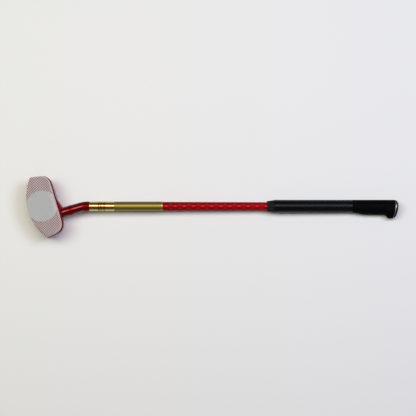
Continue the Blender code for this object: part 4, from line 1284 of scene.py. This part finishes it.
buttDrop = float(handleDrop(np.array(gripSizes["handleLength"])))
buttLook = {
    "ring": (0.34, 0.335, 0.265),
    "ringDeep": (0.27, 0.265, 0.20),
    "ringRoughness": 0.48,
    "ringEdge": 0.0003,
    "cap": (0.004, 0.004, 0.005),
    "capDust": (0.03, 0.03, 0.03),
    "capRoughness": 0.06,
    "bowStart": (0.007, 0.009),        # the butt end bows back beyond these widths, to the toe and heel side
    "bow": (0.0009, 0.0027),           # and by this much at its two ends
    "bowReach": 0.014,
    "capFoot": 0.96,                   # scale of the ring under the dome's foot
    "capFlat": 0.35,                   # how square the dome's top and underside are; 1 is the plain dome
    "capRise": 0.0057,                 # its height; a squarer dome needs less for the same outline
    "capPlain": (0.3, 0.8),            # shares of the half length between which it turns to the plain dome
    "capIor": 2.2,
    "capCoatRoughness": 0.14,
    "glossMiddle": -0.10,              # share of the cap's half length
    "glossWidth": (0.25, 0.50),        # the gloss fades out between these shares from its middle
    "shoulder": ((-0.06, 0.0), (0.10, 0.20)),  # shares of the height where the gloss comes and goes
    "plug": (0.03, 0.03, 0.03),
    "plugRoughness": 0.5,
    "plugEdges": (0.0006, 0.0002, 0.0004),  # of stem, flange and pin
    "plugRings": (0.003, 0.002),       # radius of the inmost ring on the stem's end and on the pin's
    "columns": 120,
}


def eggRings(station, top, drop, side, slant, scale=1.0, crest=0.0):
    # Sections of handle, ring and cap, one for each station: half an ellipse to the toe side and a longer
    # one to the heel side, drawn in about the crest by the scale, on a plane that leans by the slant.
    station, top, drop, side, slant, scale = asColumns(station, top, drop, side, slant, scale)
    turn = np.linspace(0, math.tau, buttLook["columns"], endpoint=False)[None, :]
    y = np.cos(turn) * np.where(np.cos(turn) > 0, top, drop)
    y = crest + (y - crest) * scale
    return np.stack([station + y * np.tan(slant), y, np.sin(turn) * side * scale], axis=-1)


def buttRings(station, step, scale=1.0):
    return eggRings(station, gripSizes["handleTop"] - step, buttDrop - step, gripSizes["handleSide"] - step,
                    buttSlant, scale, buttSizes["capCrest"])


def roundHole(station, radius):
    return eggRings(station, radius, radius, radius, buttSlant)


def bowed(grid):
    # The butt end bows back along the club by bow * ((width - start) / (end - start))^2 on its toe side
    # and on its heel side, faded in along the last stretch of the grip.
    look, ends = buttLook, (gripSizes["handleTop"], buttDrop)
    x, y, z = np.moveaxis(grid, -1, 0)
    back = 0
    for width, begin, end, bow in zip((y, -y), look["bowStart"], ends, look["bow"]):
        back = back + bow * np.clip((width - begin) / (end - begin), 0, 1) ** 2
    fade = smoothStep((x - handleEnd + look["bowReach"]) / look["bowReach"])
    return np.stack([x - back * fade, y, z], axis=-1)


def handleMesh():
    sizes, columns, turn = gripSizes, buttLook["columns"], quarterTurn(5)
    length, radius, edge = sizes["handleLength"], sizes["radius"], sizes["edge"]
    guards = edge * np.array((3.0, edgeGuard))
    body = np.linspace(edge, length - edge, 90)[1:-1]
    distance = np.concatenate([[0, 0], edge * (1 - np.cos(turn)), body,
                               length - edge * (1 - np.cos(turn[::-1])), [length, length]])
    inset = np.concatenate([guards, edge * (1 - np.sin(turn)), 0 * body, edge * (1 - np.sin(turn[::-1])),
                            guards[::-1]])
    widening = smoothStep(distance / sizes["swellLength"])
    side = radius + (sizes["handleSide"] - radius) * widening
    top = radius + (sizes["handleTop"] - radius) * widening
    slant = buttSlant * smoothStep((distance - lipStart) / sizes["lipRamp"])
    outer = eggRings(handleStart + distance, top - inset, handleDrop(distance) - inset, side - inset, slant)
    bore = eggRings((handleEnd, handleStart), gripBore, gripBore, gripBore, (buttSlant, 0.0))
    uv = turnUv(np.append(distance, (length, 0))[:, None], columns)
    return gridMesh("upperGrip", fromClub(bowed(np.concatenate([outer, bore]))), uv, True)


finishPiece("upperGrip", handleMesh(), smoothRubber(), ["upper_grip"])
print("grip done")

# Butt: ring, cap and the plug that carries them

def dullGold():
    finish = Finish("dullGold", buttLook["ring"], buttLook["ringRoughness"], metallic=1.0)
    finish.paint(buttLook["ring"], (finish.cloud(scale=300.0), buttLook["ringDeep"]))
    finish.mottledRoughness(scale=400.0, less=0.08, more=0.1)
    return finish.material


def glossBlack():
    # The cap's own surface is duller than its base value: only the coat is polished.
    look = buttLook
    finish = Finish("glossBlack", look["cap"], look["capRoughness"], specular=0.0,
                    coatRoughness=look["capCoatRoughness"])
    finish.shader["Coat IOR"].default_value = look["capIor"]
    finish.feed("Coat Weight", finish.mark("gloss"))
    finish.paint(look["cap"], (finish.dots(scale=1300.0, share=0.04, size=0.25), look["capDust"]))
    finish.mottledRoughness(scale=200.0, less=-0.14, more=0.24)
    return finish.material


def blackNylon():
    finish = Finish("blackNylon", buttLook["plug"], buttLook["plugRoughness"])
    finish.mottledRoughness(scale=300.0, less=0.08, more=0.1)
    return finish.material


def trimRingMesh():
    thickness, edge, turn = buttSizes["ringThickness"], buttLook["ringEdge"], quarterTurn(4)
    guard = [edge * edgeGuard]
    stations = np.concatenate([[0], edge * (1 - np.cos(turn)), thickness - edge * (1 - np.cos(turn[::-1])),
                               [thickness]])
    steps = np.concatenate([guard, edge * (1 - np.sin(turn)), edge * (1 - np.sin(turn[::-1])), guard])
    outer = buttRings(trimStart + stations, buttSizes["ringStep"] + steps)
    hole = roundHole((trimStart + thickness, trimStart), buttSizes["pinRadius"] + seam)
    grid = np.concatenate([outer, hole])
    return gridMesh("trimRing", fromClub(bowed(grid)), ringUv(grid), True)


def endCapMesh():
    # A dome: at the height share s its rings shrink to (1 - s^(2 / flat))^(fullness / 2). The power flat
    # is 1 at the toe and heel ends and the look's own between them. The rings lie closer from the height
    # share near to the last one.
    look, step = buttLook, buttSizes["capStep"]
    near, last, lowSteps, highSteps = 0.9, 0.9995, 28, 14
    closing = 1 - (1 - near) * (1 - np.linspace(0, 1, highSteps)[1:-1]) ** 2
    rise = np.concatenate([np.linspace(0, near, lowSteps), closing, [last]])
    hole, depth = buttSizes["pinRadius"] + seam, buttSizes["pinReach"] + seam
    inner = roundHole(capStart + np.array((depth, depth, 0.0)), np.array((hole / 2, hole, hole)))
    base = buttRings(capStart, step, look["capFoot"])
    flat, plain = [buttRings(capStart + look["capRise"] * rise, step,
                             (1 - rise ** (2 / power)) ** (buttSizes["capFullness"] / 2))
                   for power in (look["capFlat"], 1.0)]
    side = np.cos(np.linspace(0, math.tau, look["columns"], endpoint=False))
    begin, end = look["capPlain"]
    share = 1 - smoothStep((np.abs(side) - begin) / (end - begin))[None, :, None]
    dome = flat * share + plain * (1 - share)
    inmost = (dome[-1:] + dome[-1].mean(axis=0)) / 2
    grid = np.concatenate([inner, base, dome, inmost])
    (risen, full), (fading, gone) = look["shoulder"]
    gloss = smoothStep((rise - risen) / (full - risen)) * smoothStep((gone - rise) / (gone - fading))
    gloss = np.concatenate([np.zeros(4), gloss, [0.0]])
    strong, faint = look["glossWidth"]
    across = 1 - smoothStep((np.abs(side - look["glossMiddle"]) - strong) / (faint - strong))
    return gridMesh("endCap", fromClub(bowed(grid)), ringUv(grid), marks={"gloss": gloss[:, None] * across})


def plugMesh():
    # Stem in the shaft, flange on the shaft's end, and the pin that carries ring and cap.
    outer, pin = shaftSizes["highRadius"], buttSizes["pinRadius"]
    stem, start = outer - shaftSizes["wall"] - seam, shaftEnd - buttSizes["plugStem"]
    flangeStart, pinEnd = shaftEnd + seam, capStart + buttSizes["pinReach"]
    flangeEnd = flangeStart + buttSizes["plugFlange"]
    stemEdge, flangeEdge, pinEdge = buttLook["plugEdges"]
    stemRing, pinRing = buttLook["plugRings"]
    return turnedMesh("buttPlug", [
        (start, stemRing, 0), (start, stem, stemEdge), (flangeStart, stem, 0),
        (flangeStart, outer, flangeEdge), (flangeEnd, outer, flangeEdge), (flangeEnd, pin, 0),
        (pinEnd, pin, pinEdge), (pinEnd, pinRing, 0)],
        closed=False, columns=96)


finishPiece("trimRing", trimRingMesh(), dullGold(), ["trim_ring"])
finishPiece("endCap", endCapMesh(), glossBlack(), ["end_cap"])
finishPiece("buttPlug", plugMesh(), blackNylon(), ["butt_plug"])
print("butt done")

# Floor, light and camera

stageLook = {
    "floorSize": 60.0,
    "floorColour": (0.80, 0.815, 0.815),
    "floorRoughness": 0.9,
    "lampHeight": 2.5,
    "lampWidth": 1.10,
    "lampShift": 0.38,                 # middle of the lamps, towards the toe side
    "lampRadiance": 4.95,
    "lamps": (                         # name, middle and length along the club, tint
        ("softboxMiddle", -0.175, 1.55, (1.08, 0.87, 0.82)),
        ("softboxLeft", -1.575, 1.25, (1.22, 1.45, 1.17)),
        ("softboxRight", 1.40, 1.20, (1.40, 1.64, 2.08)),
    ),
    "roomLight": (0.130, 0.100, 0.088),
}
cameraLook = {
    "distance": 2.27,
    "lean": 7.0,                       # from straight overhead, towards the heel side
    "roll": -0.17,
    "lens": 86.89,
    "sensor": 36.0,                    # lens and sensor are in millimetres
    "aimAlong": 0.4080,                # from the box's low end
    "aimAcross": -0.0039,              # from the shaft's line
    "aimHeight": 0.025,
}


def paleFloor():
    return Finish("paleFloor", stageLook["floorColour"], stageLook["floorRoughness"], specular=0.0).material


floorCorners = np.array(((-1, -1, 0), (1, -1, 0), (1, 1, 0), (-1, 1, 0))) * stageLook["floorSize"] / 2
floorMesh = addMesh("floor", floorCorners, [np.array([[0, 1, 2, 3]])])
floorMesh.materials.append(paleFloor())
floor = bpy.data.objects.new("floor", floorMesh)
scene.collection.objects.link(floor)

for name, middle, length, tint in stageLook["lamps"]:
    lampData = bpy.data.lights.new(name, "AREA")
    lampData.shape = "RECTANGLE"
    lampData.size = length
    lampData.size_y = stageLook["lampWidth"]
    lampData.energy = stageLook["lampRadiance"] * math.pi * length * stageLook["lampWidth"]
    lampData.color = tint
    lamp = bpy.data.objects.new(name, lampData)
    scene.collection.objects.link(lamp)
    lamp.location = (middle, stageLook["lampShift"], stageLook["lampHeight"])
    lamp.visible_camera = False

world = bpy.data.worlds.new("darkRoom")
scene.world = world
world.use_nodes = True
world.node_tree.nodes["Background"].inputs["Color"].default_value = (*stageLook["roomLight"], 1.0)

lean, roll = math.radians(cameraLook["lean"]), math.radians(cameraLook["roll"])
target = Vector((cadBox[0].x + cameraLook["aimAlong"], clubOrigin[1] + cameraLook["aimAcross"],
                 cameraLook["aimHeight"]))
back = Vector((0.0, -math.sin(lean), math.cos(lean)))
level, upright = Vector((1.0, 0.0, 0.0)), Vector((0.0, math.cos(lean), math.sin(lean)))
right = level * math.cos(roll) + upright * math.sin(roll)
up = upright * math.cos(roll) - level * math.sin(roll)
cameraData = bpy.data.cameras.new("camera")
cameraData.lens = cameraLook["lens"]
cameraData.sensor_width = cameraLook["sensor"]
camera = bpy.data.objects.new("camera", cameraData)
scene.collection.objects.link(camera)
turned = Matrix((right, up, back)).transposed().to_4x4()
camera.matrix_world = Matrix.Translation(target + back * cameraLook["distance"]) @ turned
scene.camera = camera

scene.view_settings.view_transform = "Standard"
print("floor, light and camera done")
